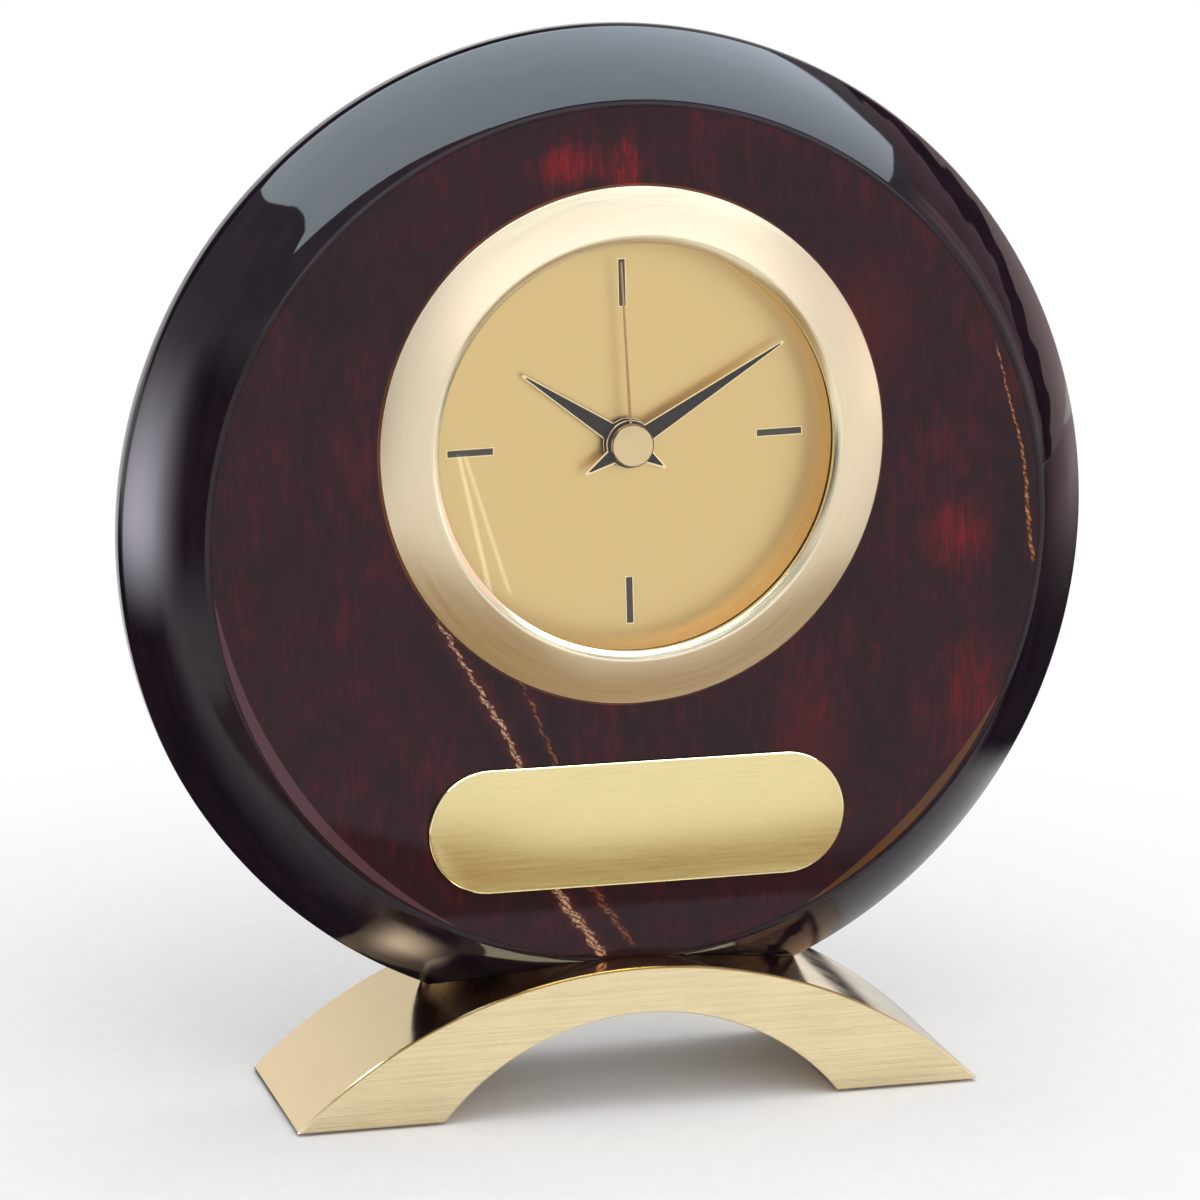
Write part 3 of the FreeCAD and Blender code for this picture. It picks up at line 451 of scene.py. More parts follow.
dark_patches = [((54, 0, 24), (9, 50, 9), 0.4), ((-52, 0, 42), (12, 50, 14), 0.5),
                ((-14, 0, -38), (5, 50, 20), 0.8), ((20, 0, 60), (10, 50, 7), 0.3),
                ((66, 0, -2), (6, 50, 26), 0.7), ((-62, 0, -8), (8, 50, 26), 0.35)]
for centre, size, strength in dark_patches:
    patch = times(spot(face, centre, size), strength)
    wood = blend(patch, wood, (0.012, 0.008, 0.010))
wander = noise(face, size=9.0, detail=1.0)
fray = noise(in_mm(tree, disc_place, (0.9, 1.0, 0.5)), detail=2.0, rough=0.6)
bark_tone = shades(noise(in_mm(tree, disc_place, (2.2, 1.0, 1.1)), detail=3.0),
                   [(0.35, (0.24, 0.09, 0.045)), (0.50, (0.48, 0.26, 0.15)), (0.7, (0.66, 0.43, 0.27))])
main_path = [(-13.0, -32.7), (-36.3, -19.8), (-57.7, -12.8), (-69.5, -5.6)]
side_path = [(-20.0, -21.0), (-36.5, -13.0), (-57.7, -7.5), (-67.0, -1.5)]
edge_path = [(28.0, 62.6), (21.0, 64.5), (12.7, 66.6), (5.6, 67.6), (-2.6, 68.5), (-6.0, 69.0)]
rust_tone = shades(fray, [(0.35, (0.16, 0.040, 0.014)), (0.6, (0.52, 0.19, 0.07))])
strands = [(main_path, 1.1, 1.0, bark_tone, 1.0), (side_path, 0.8, 0.4, rust_tone, 1.0),
           (edge_path, 0.42, 0.95, rust_tone, 0.35)]
for path, width, share, tone, loose in strands:
    mark, glow = strand(face, path, width, wander, fray, loose)
    wood = blend(times(glow, share * loose ** 2), wood, (0.10, 0.018, 0.014))
    wood = blend(times(mark, share), wood, tone)
beyond = crescent(face, 0, insert_rise, 42.75)
rim = times(minus(1.0, beyond), band(clouds, 0.35, 0.65, 0.10, 0.65))
wood = blend(rim, wood, (0.24, 0.075, 0.025))
# Two crescents at the lower left and lower right of the face are painted reflections of the bevel's light
# inside the thick lacquer, not colours of the wood. One is grey-red and one is orange-brown.
for side, height, limit, share, tone in ((14.8, 10.3, 86.05, 0.8, (0.105, 0.048, 0.056)),
                                         (-28.3, 28.3, 108.4, 0.7, (0.135, 0.058, 0.022))):
    edge = times(crescent(face, side, height, limit), share)
    wood = blend(edge, wood, tone)
drive(shader, "Base Color", wood)
print("rosewood has", len(tree.nodes), "nodes")

# %% [markdown]
# ## Plastics, paints and small metals
# The works behind the dial are moulded plastic, brass pinions, steel and copper wire.
# Each gets a fine mottle in colour and roughness, so none is one flat colour.

# %% Mottled finishes for the small pieces
def mottled(name, dark, pale, size, rough, metal=0.0, depth=0.0, **sockets):
    """A finish that clouds between two tones, with the cloud's size in millimetres."""
    made, tree, shader = new_finish(name, pale, 0.5, metal, **sockets)
    cloud = noise(in_mm(tree, stand_place), size=size, detail=3.0)
    tint(shader, cloud, dark, pale, rough)
    if depth:
        bump(shader, cloud, depth)
    return made


hand_dark = mottled("paint_hand", (0.016, 0.012, 0.010), (0.026, 0.019, 0.015), 0.6, (0.35, 0.5),
                    Specular_IOR_Level=0.25)
marker_dark = mottled("paint_marker", (0.050, 0.036, 0.018), (0.075, 0.055, 0.028), 0.5, (0.4, 0.5))
felt = mottled("felt", (0.010, 0.010, 0.011), (0.030, 0.030, 0.032), 0.15, (0.9, 1.0), depth=0.05)
black_plastic = mottled("plastic_black", (0.012, 0.012, 0.013), (0.020, 0.020, 0.021), 0.25,
                        (0.38, 0.55), depth=0.01)
white_plastic = mottled("plastic_white", (0.62, 0.61, 0.57), (0.72, 0.71, 0.68), 0.4, (0.35, 0.5))
rubber = mottled("rubber", (0.016, 0.016, 0.017), (0.028, 0.028, 0.029), 0.3, (0.6, 0.8), depth=0.01)
steel = mottled("steel", (0.42, 0.42, 0.43), (0.56, 0.56, 0.57), 0.5, (0.25, 0.4), 1.0)
nickel = mottled("nickel", (0.60, 0.59, 0.56), (0.72, 0.70, 0.66), 0.5, (0.18, 0.3), 1.0)
pinion_brass = mottled("brass_pinion", (0.66, 0.48, 0.20), (0.80, 0.62, 0.30), 0.4, (0.2, 0.35), 1.0)
board_green = mottled("board", (0.012, 0.090, 0.040), (0.020, 0.130, 0.060), 0.8, (0.3, 0.45))
resin = mottled("resin", (0.006, 0.006, 0.007), (0.012, 0.012, 0.013), 0.4, (0.2, 0.35))
magnet_dark = mottled("magnet", (0.10, 0.10, 0.105), (0.16, 0.16, 0.165), 0.3, (0.3, 0.5), 0.6)
glue = mottled("glue", (0.60, 0.60, 0.56), (0.70, 0.70, 0.66), 1.0, (0.4, 0.5))

copper, tree, shader = new_finish("copper_enamelled", (0.62, 0.22, 0.08), 0.28, 1.0)
turns = add("TexWave", {"Vector": in_mm(tree, insert_place), "Scale": 1.6, "Distortion": 0.3},
            wave_type="BANDS", bands_direction="X").outputs[0]
drive(shader, "Base Color", shades(turns, [(0.2, (0.30, 0.09, 0.03)), (0.8, (0.70, 0.27, 0.10))]))
bump(shader, turns, 0.05)
print("small finishes ready")

# %% [markdown]
# The lens is clear and flat. It is made of a see-through shader and a mirror-like one,
# mixed by Fresnel, so that light reaches the dial and the surface still glints.

# %% Clear lens
lens_clear, tree = bare_finish("lens_clear")
through = add("BsdfTransparent", {"Color": (0.985, 0.985, 0.98, 1)}, tree).outputs[0]
faint = noise(in_mm(tree, insert_place), size=20.0)
polish = band(faint, 0.3, 0.7, 0.004, 0.012)
glint = add("BsdfGlossy", {"Color": (1, 1, 1, 1), "Roughness": polish}).outputs[0]
show_mix(add("Fresnel", {"IOR": 1.33}, tree).outputs[0], through, glint)
print("lens ready")

# %% [markdown]
# ## Helpers for shapes
# Turned pieces come from a line of corners spun about the Y axis. Their rims are then
# rounded with the bevel operator, by the width that each fillet takes up.

# %% Shape helpers
FULL_TURN = 2 * math.pi
round_steps = 256
weld = 1e-4


def lathe(corners, steps=192, closed=True):
    """Spin a line of (radius, depth) corners about the Y axis."""
    shape = bmesh.new()
    dots = [shape.verts.new((radius, depth, 0)) for radius, depth in corners]
    pairs = list(zip(dots, dots[1:]))
    if closed:
        pairs.append((dots[-1], dots[0]))
    for first, second in pairs:
        if first.co.x > 0 or second.co.x > 0:
            shape.edges.new((first, second))
    bmesh.ops.spin(shape, geom=shape.verts[:] + shape.edges[:], cent=(0, 0, 0), axis=(0, 1, 0),
                   angle=FULL_TURN, steps=steps, use_merge=True, use_duplicate=False)
    bmesh.ops.remove_doubles(shape, verts=shape.verts, dist=weld)
    bmesh.ops.recalc_face_normals(shape, faces=shape.faces)
    return shape


def turned_ring(inner, outer, front, rear, steps=192):
    """A ring between two depths, or a full disc when the inner radius is zero."""
    return lathe([(inner, front), (outer, front), (outer, rear), (inner, rear)], steps)


def edges_at(shape, depth):
    """The edges that lie flat at one depth."""
    return [e for e in shape.edges if all(abs(v.co.y - depth) < weld for v in e.verts)]


def rings(shape, radius, depth):
    """The edges that run round the axis at one radius and depth."""
    near = 0.01
    return [edge for edge in shape.edges
            if all(abs(math.hypot(v.co.x, v.co.z) - radius) < near and abs(v.co.y - depth) < near
                   for v in edge.verts)]


def soften(shape, edges, amount, segments=4):
    """Round these edges by a width."""
    bmesh.ops.bevel(shape, geom=edges, offset=amount, offset_type="OFFSET", affect="EDGES",
                    segments=segments, profile=0.5, clamp_overlap=True, material=-1)


def soften_rings(shape, places, segments=4):
    for radius, depth, amount in places:
        soften(shape, rings(shape, radius, depth), amount, segments)
    return shape


def gather(parts):
    """One shape from several, each with its own place."""
    whole = bmesh.new()
    for shape, place in parts:
        shape.transform(place)
        loose = bpy.data.meshes.new("loose")
        shape.to_mesh(loose)
        whole.from_mesh(loose)
        bpy.data.meshes.remove(loose)
        shape.free()
    return whole


def to_object(name, shape):
    """An object in the scene, made from a shape that is then freed."""
    mesh = bpy.data.meshes.new(name)
    shape.to_mesh(mesh)
    shape.free()
    made = bpy.data.objects.new(name, mesh)
    scene.collection.objects.link(made)
    return made


def shade(mesh, crease):
    """Smooth shading that stays sharp past an angle in degrees."""
    mesh.shade_smooth()
    mesh.set_sharp_from_angle(angle=math.radians(crease))


def finish_piece(name, shape, place, finishes, body, nodes, crease=15.0):
    """Put a shape in its place as a named piece that rides on a body."""
    bmesh.ops.recalc_face_normals(shape, faces=shape.faces)
    shape.transform(place)
    piece = to_object(name, shape)
    for material in finishes:
        piece.data.materials.append(material)
    shade(piece.data, crease)
    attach(piece, body)
    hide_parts(*nodes)
    print(name, len(piece.data.polygons), "faces")
    return piece


def cut_away(piece, cutters, crease=15.0):
    """Cut shapes, in the scene's metres, out of a finished piece."""
    tool = to_object("cutter", cutters)
    step = piece.modifiers.new("cut", "BOOLEAN")
    step.operation = "DIFFERENCE"
    step.solver = "EXACT"
    step.use_self = True
    step.object = tool
    sight = bpy.context.evaluated_depsgraph_get()
    result = bpy.data.meshes.new_from_object(piece.evaluated_get(sight), depsgraph=sight)
    piece.modifiers.clear()
    piece.data = result
    bpy.data.objects.remove(tool)
    shade(result, crease)
    print(piece.name, "cut,", len(result.polygons), "faces")


def thicken(shape, rear):
    """Give flat faces a depth that ends at this Y."""
    wall = bmesh.ops.extrude_face_region(shape, geom=shape.faces[:])
    for item in wall["geom"]:
        if isinstance(item, bmesh.types.BMVert):
            item.co.y = rear
    bmesh.ops.recalc_face_normals(shape, faces=shape.faces)
    return shape


def level_ring(shape, radius, depth, rise=0.0):
    """Edges of a circle about the Y axis, or above it."""
    made = bmesh.ops.create_circle(shape, cap_ends=False, segments=round_steps, radius=radius,
                                   matrix=shift(0, depth, rise) @ turn_flat)
    return list(dict.fromkeys(e for v in made["verts"] for e in v.link_edges))


def upright_bar(radius, bottom, top, steps=96):
    """A round bar along Z in millimetres."""
    bar = bmesh.new()
    bmesh.ops.create_cone(bar, cap_ends=True, segments=steps, radius1=radius, radius2=radius,
                          depth=top - bottom)
    bar.transform(shift(0, 0, (top + bottom) / 2))
    return bar


def sort_faces(shape, choose):
    """Give each face the number of its finish, which choose finds from the face."""
    shape.normal_update()
    for flat in shape.faces:
        flat.material_index = choose(flat)


print("shape helpers ready")

# %% [markdown]
# ## The arch
# The base is a block of brass cut as an arch. Two strips are spun for the outer and
# the inner curve, their rims are bridged into the flat faces, and the feet are filled.
# The corners along the flat faces are bevelled, because they catch a bright line of
# light. The bevels are polished, and their paler brass is a painted highlight.

# %% Brass arch
half_depth = 17.5
foot_level = 0.5
outer_radius, outer_centre, outer_half = 83.2, -58.661, 58.5
inner_radius, inner_centre = 43.3, -26.661
inner_half = math.sqrt(inner_radius ** 2 - (foot_level - inner_centre) ** 2)
arch_steps = 96
arch_round = 0.35


def arc_strip(shape, radius, centre, half):
    """A strip as deep as the arch, spun about a centre from the left foot to the right."""
    reach = math.asin(half / radius)
    ends = [shape.verts.new((-half, side * half_depth, foot_level)) for side in (-1, 1)]
    line = shape.edges.new(ends)
    bmesh.ops.spin(shape, geom=ends + [line], cent=(0, 0, centre), axis=(0, 1, 0),
                   angle=2 * reach, steps=arch_steps, use_merge=False, use_duplicate=False)


arch = bmesh.new()
arc_strip(arch, outer_radius, outer_centre, outer_half)
arc_strip(arch, inner_radius, inner_centre, inner_half)
for side in (-1, 1):
    bmesh.ops.bridge_loops(arch, edges=edges_at(arch, side * half_depth))
bmesh.ops.holes_fill(arch, edges=[e for e in arch.edges if e.is_boundary], sides=4)
bmesh.ops.recalc_face_normals(arch, faces=arch.faces)
arch.normal_update()
corner_edges = [e for e in arch.edges if e.calc_face_angle(0) > math.radians(60)
                and all(abs(abs(v.co.y) - half_depth) < weld for v in e.verts)]
soften(arch, corner_edges, arch_round, 2)
sort_faces(arch, lambda flat: 0 if abs(flat.normal.y) > 0.95 else 2 if abs(flat.normal.y) > 0.1 else 1)
arch_piece = finish_piece("arch_brass", arch, stand_place, [arch_brushed, arch_polished, arch_edge_painted_highlight],
                          "stand", ["base_arch"])

# %% Holes under the arch for the screws and washers
screw_side, screw_line = 12.0, -2.2177
below_feet, above_arch = -1.0, 30.0
hole_radius, counterbore_radius, counterbore_top = 2.2, 4.2, 17.739
holes = []
for side in (-1, 1):
    screw_place = stand_place @ shift(side * screw_side, screw_line, 0)
    for radius, top in ((hole_radius, above_arch), (counterbore_radius, counterbore_top)):
        holes.append((upright_bar(radius, below_feet, top), screw_place))
cut_away(arch_piece, gather(holes))

# %% [markdown]
# Under the feet are four felt dots, and in the holes a screw and a washer each side.
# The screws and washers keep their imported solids. The dots get a soft edge.

# %% Felt dots
dot_side, dot_line = 46.11, 8.5
dot_radius, dot_round = 5.0, 0.12
dot_bottom, dot_top = 0.001, 0.5
dots = []
for side in (-1, 1):
    for end in (-1, 1):
        dot = turned_ring(0, dot_radius, dot_bottom, dot_top, 64)
        soften_rings(dot, [(dot_radius, dot_bottom, dot_round)], 3)
        dots.append((dot, shift(side * dot_side, end * dot_line, 0) @ turn_flat))
finish_piece("felt_dots", gather(dots), stand_place, [felt], "stand", ["foot_pads"])

# %% [markdown]
# ## The disc
# The wooden disc is a spun line too: a narrow front margin, the wide bevel, the side
# and the back. The bore for the insert lies above the middle, so its walls are
# bridged to the spun rims, which needs the same number of steps all round.

# %% Lacquered disc
face_radius, disc_radius, veneer_radius = 70.8, 82.47, 70.05
bevel_depth, disc_depth, veneer_depth = 13.3, 18.0, 0.6
bore_radius = 39.0
back_radius = 80.0
face_round, side_round, back_round = 0.54, 1.13, 1.5
crowns = [(73.2, 1.74, 1.4), (76.4, 4.83, 2.2), (79.5, 8.66, 2.4)]

disc = lathe([(veneer_radius, veneer_depth), (veneer_radius, 0), (face_radius, 0),
              *[(radius, depth) for radius, depth, _ in crowns], (disc_radius, bevel_depth),
              (disc_radius, disc_depth), (back_radius, disc_depth)], round_steps, closed=False)
bore_front = level_ring(disc, bore_radius, veneer_depth, insert_rise)
bore_back = level_ring(disc, bore_radius, disc_depth, insert_rise)
bmesh.ops.bridge_loops(disc, edges=rings(disc, veneer_radius, veneer_depth) + bore_front)
bmesh.ops.bridge_loops(disc, edges=rings(disc, back_radius, disc_depth) + bore_back)
bmesh.ops.bridge_loops(disc, edges=bore_front + bore_back)
bmesh.ops.recalc_face_normals(disc, faces=disc.faces)
soften_rings(disc, [(face_radius, 0, face_round), (disc_radius, bevel_depth, side_round),
                    (disc_radius, disc_depth, back_round), *crowns], 6)
sort_faces(disc, lambda flat: flat.normal.y < -0.995 and flat.calc_center_median().y < 0.1)
disc_piece = finish_piece("disc_lacquered", disc, disc_place, [body_lacquer, margin_lacquer], "stand",
                          ["case_body"])
saddle_gap, saddle_reach = 0.05, 40.0
saddle = upright_bar(outer_radius + saddle_gap, -saddle_reach, saddle_reach, 384)
saddle_place = stand_place @ shift(0, 0, outer_centre) @ turn_flat
cut_away(disc_piece, gather([(saddle, saddle_place)]))

# %% [markdown]
# The rosewood face is a thin sheet set into the front of the disc, with the same
# off-centre hole.

# %% Rosewood face
sheet_radius = 70.0
sheet = bmesh.new()
rims = []
for depth in (0, veneer_depth):
    rims.append(level_ring(sheet, sheet_radius, depth))
    rims.append(level_ring(sheet, bore_radius, depth, insert_rise))
for first, second in ((0, 1), (2, 3), (0, 2), (1, 3)):
    bmesh.ops.bridge_loops(sheet, edges=rims[first] + rims[second])
finish_piece("face_rosewood", sheet, disc_place, [face_rosewood], "stand", ["face_veneer"])

# %% [markdown]
# ## The engraving plate
# A thin brass plate with half-round ends, left bare. A filled circle is pulled apart at
# its middle and given its thickness, and the front rim is bevelled to a bright line.
# The bevel is polished, and its paler brass is a painted highlight.

# %% Engraving plate
def stadium(length, height, front, rear, steps=128):
    """A plate with half-round ends between two depths."""
    shape = bmesh.new()
    half_step = turned(180 / steps, "Y")
    made = bmesh.ops.create_circle(shape, cap_ends=True, segments=steps, radius=height / 2,
                                   matrix=half_step @ turn_flat)
    pull = (length - height) / 2
    for dot in made["verts"]:
        dot.co.x += math.copysign(pull, dot.co.x)
        dot.co.y = front
    return thicken(shape, rear)


plate_length, plate_height, plate_round = 71.0, 20.6, 0.3
plate_front, plate_rear = -0.95, -0.15
plate_side, plate_drop = 0.5, 47.4
plate = stadium(plate_length, plate_height, plate_front, plate_rear)
soften(plate, edges_at(plate, plate_front), plate_round, 3)
sort_faces(plate, lambda flat: flat.normal.y >= -0.99)
finish_piece("plate_bare", plate, disc_place @ shift(plate_side, 0, -plate_drop),
             [plate_brass, plate_edge_painted_highlight], "stand", ["name_plate"])

# %% [markdown]
# ## The insert from the front
# The bezel is one turned ring with a wide sloping face, a small lip that drops to the
# lens, and a skirt behind. The lens, the dial and the ring between them are turned
# as well.

# %% Bezel, lens, dial ring and dial
bezel_radius, bezel_edge = 42.35, -0.6
crest_radius, crest_depth, crest_round = 34.7, -3.9, 0.25
sight_radius, sight_depth = 33.3, -2.9
lens_radius, lens_front, lens_rear = 34.85, -1.9, -0.3
seat_radius, skirt_radius, skirt_depth = 34.9, 35.95, 3.0


def on_lip(flat):
    """Whether a face is on the narrow rim that drops to the lens."""
    middle = flat.calc_center_median()
    return math.hypot(middle.x, middle.z) < crest_radius - crest_round and middle.y < lens_front - 0.05


bezel = lathe([(bezel_radius, 0), (bezel_radius, bezel_edge), (crest_radius, crest_depth),
               (sight_radius, sight_depth), (sight_radius, lens_front), (seat_radius, lens_front),
               (seat_radius, skirt_depth), (skirt_radius, skirt_depth), (skirt_radius, 0)], round_steps)
soften_rings(bezel, [(bezel_radius, bezel_edge, 0.1), (crest_radius, crest_depth, crest_round),
                     (sight_radius, sight_depth, 0.08)], 4)
sort_faces(bezel, on_lip)
finish_piece("bezel_gold", bezel, insert_place, [bezel_gold, lip_gold_painted_highlight], "insert", ["bezel"])

lens = turned_ring(0, lens_radius, lens_front, lens_rear, 128)
soften_rings(lens, [(lens_radius, depth, 0.1) for depth in (lens_front, lens_rear)], 2)
finish_piece("lens_clear", lens, insert_place, [lens_clear], "insert", ["lens"])

ring_radius = 33.5
dial_radius, dial_bore, dial_front, dial_rear = 35.8, 4.1, 4.8, 5.3
ring = turned_ring(ring_radius, lens_radius, lens_rear, dial_front)
finish_piece("dial_ring_gold", ring, insert_place, [ring_gold], "insert", ["dial_ring"])

dial = turned_ring(dial_bore, dial_radius, dial_front, dial_rear)
finish_piece("dial_satin", dial, insert_place, [dial_gold], "insert", ["dial"])

# %% [markdown]
# Four bars mark the quarters. Each is dark paint on a thin gilt ground that shows as a
# fine pale outline.

# %% Hour markers
def flat_bar(corners, front, rear):
    """A plate between two depths with straight edges through (x, z) corners."""
    shape = bmesh.new()
    shape.faces.new([shape.verts.new((x, front, z)) for x, z in corners])
    return thicken(shape, rear)


def bar_corners(width, low, high):
    return [(-width / 2, low), (width / 2, low), (width / 2, high), (-width / 2, high)]


def paint(shape, index):
    """Give a whole shape one of its piece's finishes."""
    for flat in shape.faces:
        flat.material_index = index
    return shape


ground_bar, ground_front = (1.4, 22.2, 30.2), 4.74
paint_bar, paint_front, paint_rear = (1.05, 22.4, 30.0), 4.68, 4.745
bars = []
for quarter in range(4):
    place = turned(quarter * 90, "Y")
    bars.append((paint(flat_bar(bar_corners(*ground_bar), ground_front, dial_front), 1), place))
    bars.append((paint(flat_bar(bar_corners(*paint_bar), paint_front, paint_rear), 0), place))
finish_piece("markers_painted", gather(bars), insert_place, [marker_dark, gilt], "insert",
             ["hour_markers"])

# %% [markdown]
# ## Hands
# Each hand is a tapered gilt blade with a short tail and a round hub. Dark paint covers
# all but a fine gilt edge. The paint is a thin shape of its own on the blade's front.

# %% Hour and minute hands
def blade_corners(length, tail, width, hub, tip=0.5, tail_tip=0.5):
    """Eight corners: a long taper above the hub and a short one below."""
    return [(-tip / 2, length), (-width / 2, hub * 0.5), (-width / 2, -hub * 0.5), (-tail_tip / 2, -tail),
            (tail_tip / 2, -tail), (width / 2, -hub * 0.5), (width / 2, hub * 0.5), (tip / 2, length)]


def hand(length, tail, width, hub, bore, front, angle):
    """The gilt and painted shapes of a hand, with its front at a depth."""
    thickness, film, step = 0.3, 0.02, 0.001
    edge_width, tip_gap, hub_gap = 0.17, 0.7, 0.12
    rear = front + thickness
    bore_ring = turned_ring(bore, hub, front, rear, 96)
    soften_rings(bore_ring, [(hub, front, 0.05)], 2)
    ink_ring = turned_ring(bore, hub - hub_gap, front - film, front, 96)
    blade = flat_bar(blade_corners(length, tail, width, hub), front + step, rear - step)
    ink = blade_corners(length - tip_gap, tail - tip_gap, width - 2 * edge_width, hub, 0.22, 0.20)
    ink_blade = flat_bar(ink, front - film + step, front + 2 * step)
    painted = ((bore_ring, 1), (ink_ring, 0), (blade, 1), (ink_blade, 0))
    return [(paint(shape, index), turned(angle, "Y")) for shape, index in painted]


hour_parts = hand(length=21.3, tail=7.7, width=3.3, hub=4.2, bore=2.57, front=3.3, angle=-55.0)
finish_piece("hour_hand_painted", gather(hour_parts), insert_place, [hand_dark, gilt], "hour",
             ["hour_hand"])
minute_parts = hand(length=30.5, tail=8.8, width=3.1, hub=4.0, bore=1.67, front=2.0, angle=60.0)
finish_piece("minute_hand_painted", gather(minute_parts), insert_place, [hand_dark, gilt], "minute",
             ["minute_hand"])

# %% [markdown]
# The seconds hand is a fine gilt needle, and a flat gold cap with a rounded bright rim
# covers the ends of the arbors.

# %% Seconds hand and cap
needle_length, needle_tip, needle_root, root_height = 30.0, 0.14, 0.225, 1.2
needle_front, needle_rear = 1.1, 1.3
needle_hub, needle_bore = 1.6, 0.47
needle = flat_bar([(-needle_tip, needle_length), (-needle_root, root_height), (needle_root, root_height),
                   (needle_tip, needle_length)], needle_front, needle_rear)
hub_ring = turned_ring(needle_bore, needle_hub, needle_front, needle_rear, 64)
sweep = turned(-2.0, "Y")
needle_gilt = mottled("gilt_needle", (0.50, 0.27, 0.11), (0.60, 0.35, 0.16), 1.0, (0.3, 0.45), 0.5)
finish_piece("seconds_hand_gilt", gather([(needle, sweep), (hub_ring, sweep)]), insert_place,
             [needle_gilt], "seconds", ["seconds_hand"])
cap_radius, cap_front, cap_round = 3.55, 0.2, 0.35
cap = turned_ring(0, cap_radius, cap_front, needle_front, 96)
soften_rings(cap, [(cap_radius, cap_front, cap_round)], 5)
finish_piece("cap_gold", cap, insert_place, [cap_gold], "seconds", ["hand_cap"])

# %% [markdown]
# ## Back of the insert
# From behind, the insert shows a black cover with an open bay for one AAA cell and a
# ribbed setting knob. The cell is turned, with a crimp groove by its plus end. The
# rubber band that grips the wood gets three ribs with sloping sides.

# %% Grip band
band_bore, band_radius, rib_radius = 38.02, 38.45, 38.9
band_front, band_rear = 4.0, 11.0
foot_half, crest_half = 0.6, 0.35
band_profile = [(band_bore, band_front)]
for rib in (4.5, 7.5, 10.5):
    band_profile += [(band_radius, max(rib - foot_half, band_front)), (rib_radius, rib - crest_half),
                     (rib_radius, rib + crest_half), (band_radius, min(rib + foot_half, band_rear))]
band_profile.append((band_bore, band_rear))
finish_piece("grip_band_ribbed", lathe(band_profile), insert_place, [rubber], "insert",
             ["grip_band"], crease=60.0)

# %% AAA cell
cell_jacket, tree, shader = new_finish("cell_jacket", (0.02, 0.02, 0.02), 0.28, 0.0, Coat_Weight=0.5)
share = linear(axes(in_mm(tree, insert_place))[0], 1 / 50, 0.5)
zones = shades(share, [(0.0, (0.62, 0.62, 0.60)), (0.068, (0.015, 0.016, 0.018)),
                       (0.68, (0.60, 0.30, 0.10)), (0.925, (0.62, 0.62, 0.60))], "CONSTANT")
scuff = noise(in_mm(tree, insert_place, (0.3, 1, 1)), size=1.5, detail=3.0)
drive(shader, "Base Color", blend(0.2, zones, scuff))
drive(shader, "Roughness", band(scuff, 0.3, 0.7, 0.22, 0.4))

half_cell, cell_radius, cell_round = 22.25, 5.25, 0.6
nub, nub_radius, nub_round = 0.8, 1.9, 0.25
cell_depth, cell_drop = 13.05, 20.5
shoulder = half_cell - nub
crimp_radius, crimp_step = 4.95, 0.3
crimp = half_cell - 3.0
cell = lathe([(0, -half_cell), (cell_radius, -half_cell), (cell_radius, crimp),
              (crimp_radius, crimp + crimp_step), (crimp_radius, crimp + 2 * crimp_step),
              (cell_radius, crimp + 3 * crimp_step), (cell_radius, shoulder),
              (nub_radius, shoulder), (nub_radius, half_cell), (0, half_cell)], 96)
soften_rings(cell, [(cell_radius, -half_cell, cell_round), (cell_radius, shoulder, cell_round),
                    (nub_radius, half_cell, nub_round)], 4)
cell_place = insert_place @ shift(0, cell_depth, -cell_drop) @ turned(-90, "Z")
finish_piece("cell_aaa", cell, cell_place, [cell_jacket], "cell", ["battery"])

# %% [markdown]
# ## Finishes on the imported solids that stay
# The wheels, the motor, the board and the fastenings keep their solids, which have the
# real teeth and holes. Their material slots take the finishes made above.

# %% Give each remaining solid its finish
node_finishes = [
    (steel, "base_screws base_washers bridge_screws coil_core stator stator_screws"),
    (nickel, "cover_screws quartz_crystal contact_plate contact_spring"),
    (black_plastic, "insert_case back_cover setting_knob"),
    (white_plastic, "bridge_plate coil_bobbin transfer_wheel seconds_wheel third_wheel"),
    (white_plastic, "centre_wheel motion_wheel hour_wheel"),
    (pinion_brass, "rotor_arbor cannon_pinion"), (magnet_dark, "rotor_magnet"),
    (board_green, "circuit_board"), (resin, "driver_chip"), (copper, "coil_winding"),
    (glue, "plate_adhesive"),
]
finished = []
for material, node_names in node_finishes:
    for node_name in node_names.split():
        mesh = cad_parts[node_name].data
        mesh.materials.clear()
        mesh.materials.append(material)
        finished.append(node_name)
unfinished = [n for n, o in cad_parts.items() if not o.hide_render and n not in finished]
print("solids finished", len(finished), "without a finish", unfinished)

# %% [markdown]
# ## Floor and light
# The clock stands on a plain white floor. Close to the clock the floor is a matte
# surface, so it keeps the shadow. Further out it blends into plain white for what the
# camera sees directly or by reflection. Two soft boxes light the clock, one overhead
# and one in front, and the room itself is pale.

# %% White floor
floor_radius = 4.0
shadow_near, shadow_far = 0.08, 0.24
floor_shape = bmesh.new()
bmesh.ops.create_circle(floor_shape, cap_ends=True, segments=96, radius=floor_radius)
floor = to_object("floor", floor_shape)
floor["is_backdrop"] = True
floor_white, tree, matte = new_finish("floor_white", rough=0.9, Specular_IOR_Level=0.0)
paper = noise(plain_spots(tree), size=0.004)
drive(matte, "Base Color", shades(paper, [(0.3, 0.90), (0.7, 0.92)]))
far = band(vector("LENGTH", plain_spots(tree)), shadow_near, shadow_far)
ray = add("LightPath", tree=tree).outputs
seen = plus(ray["Is Camera Ray"], ray["Is Glossy Ray"])
seen = maths("MINIMUM", plus(seen, ray["Is Transmission Ray"]), 1.0)
white = add("Emission", {"Color": (1, 1, 1, 1)}, tree).outputs[0]
show_mix(times(far, seen), matte.outputs[0], white)
floor.data.materials.append(floor_white)
print("floor ready")

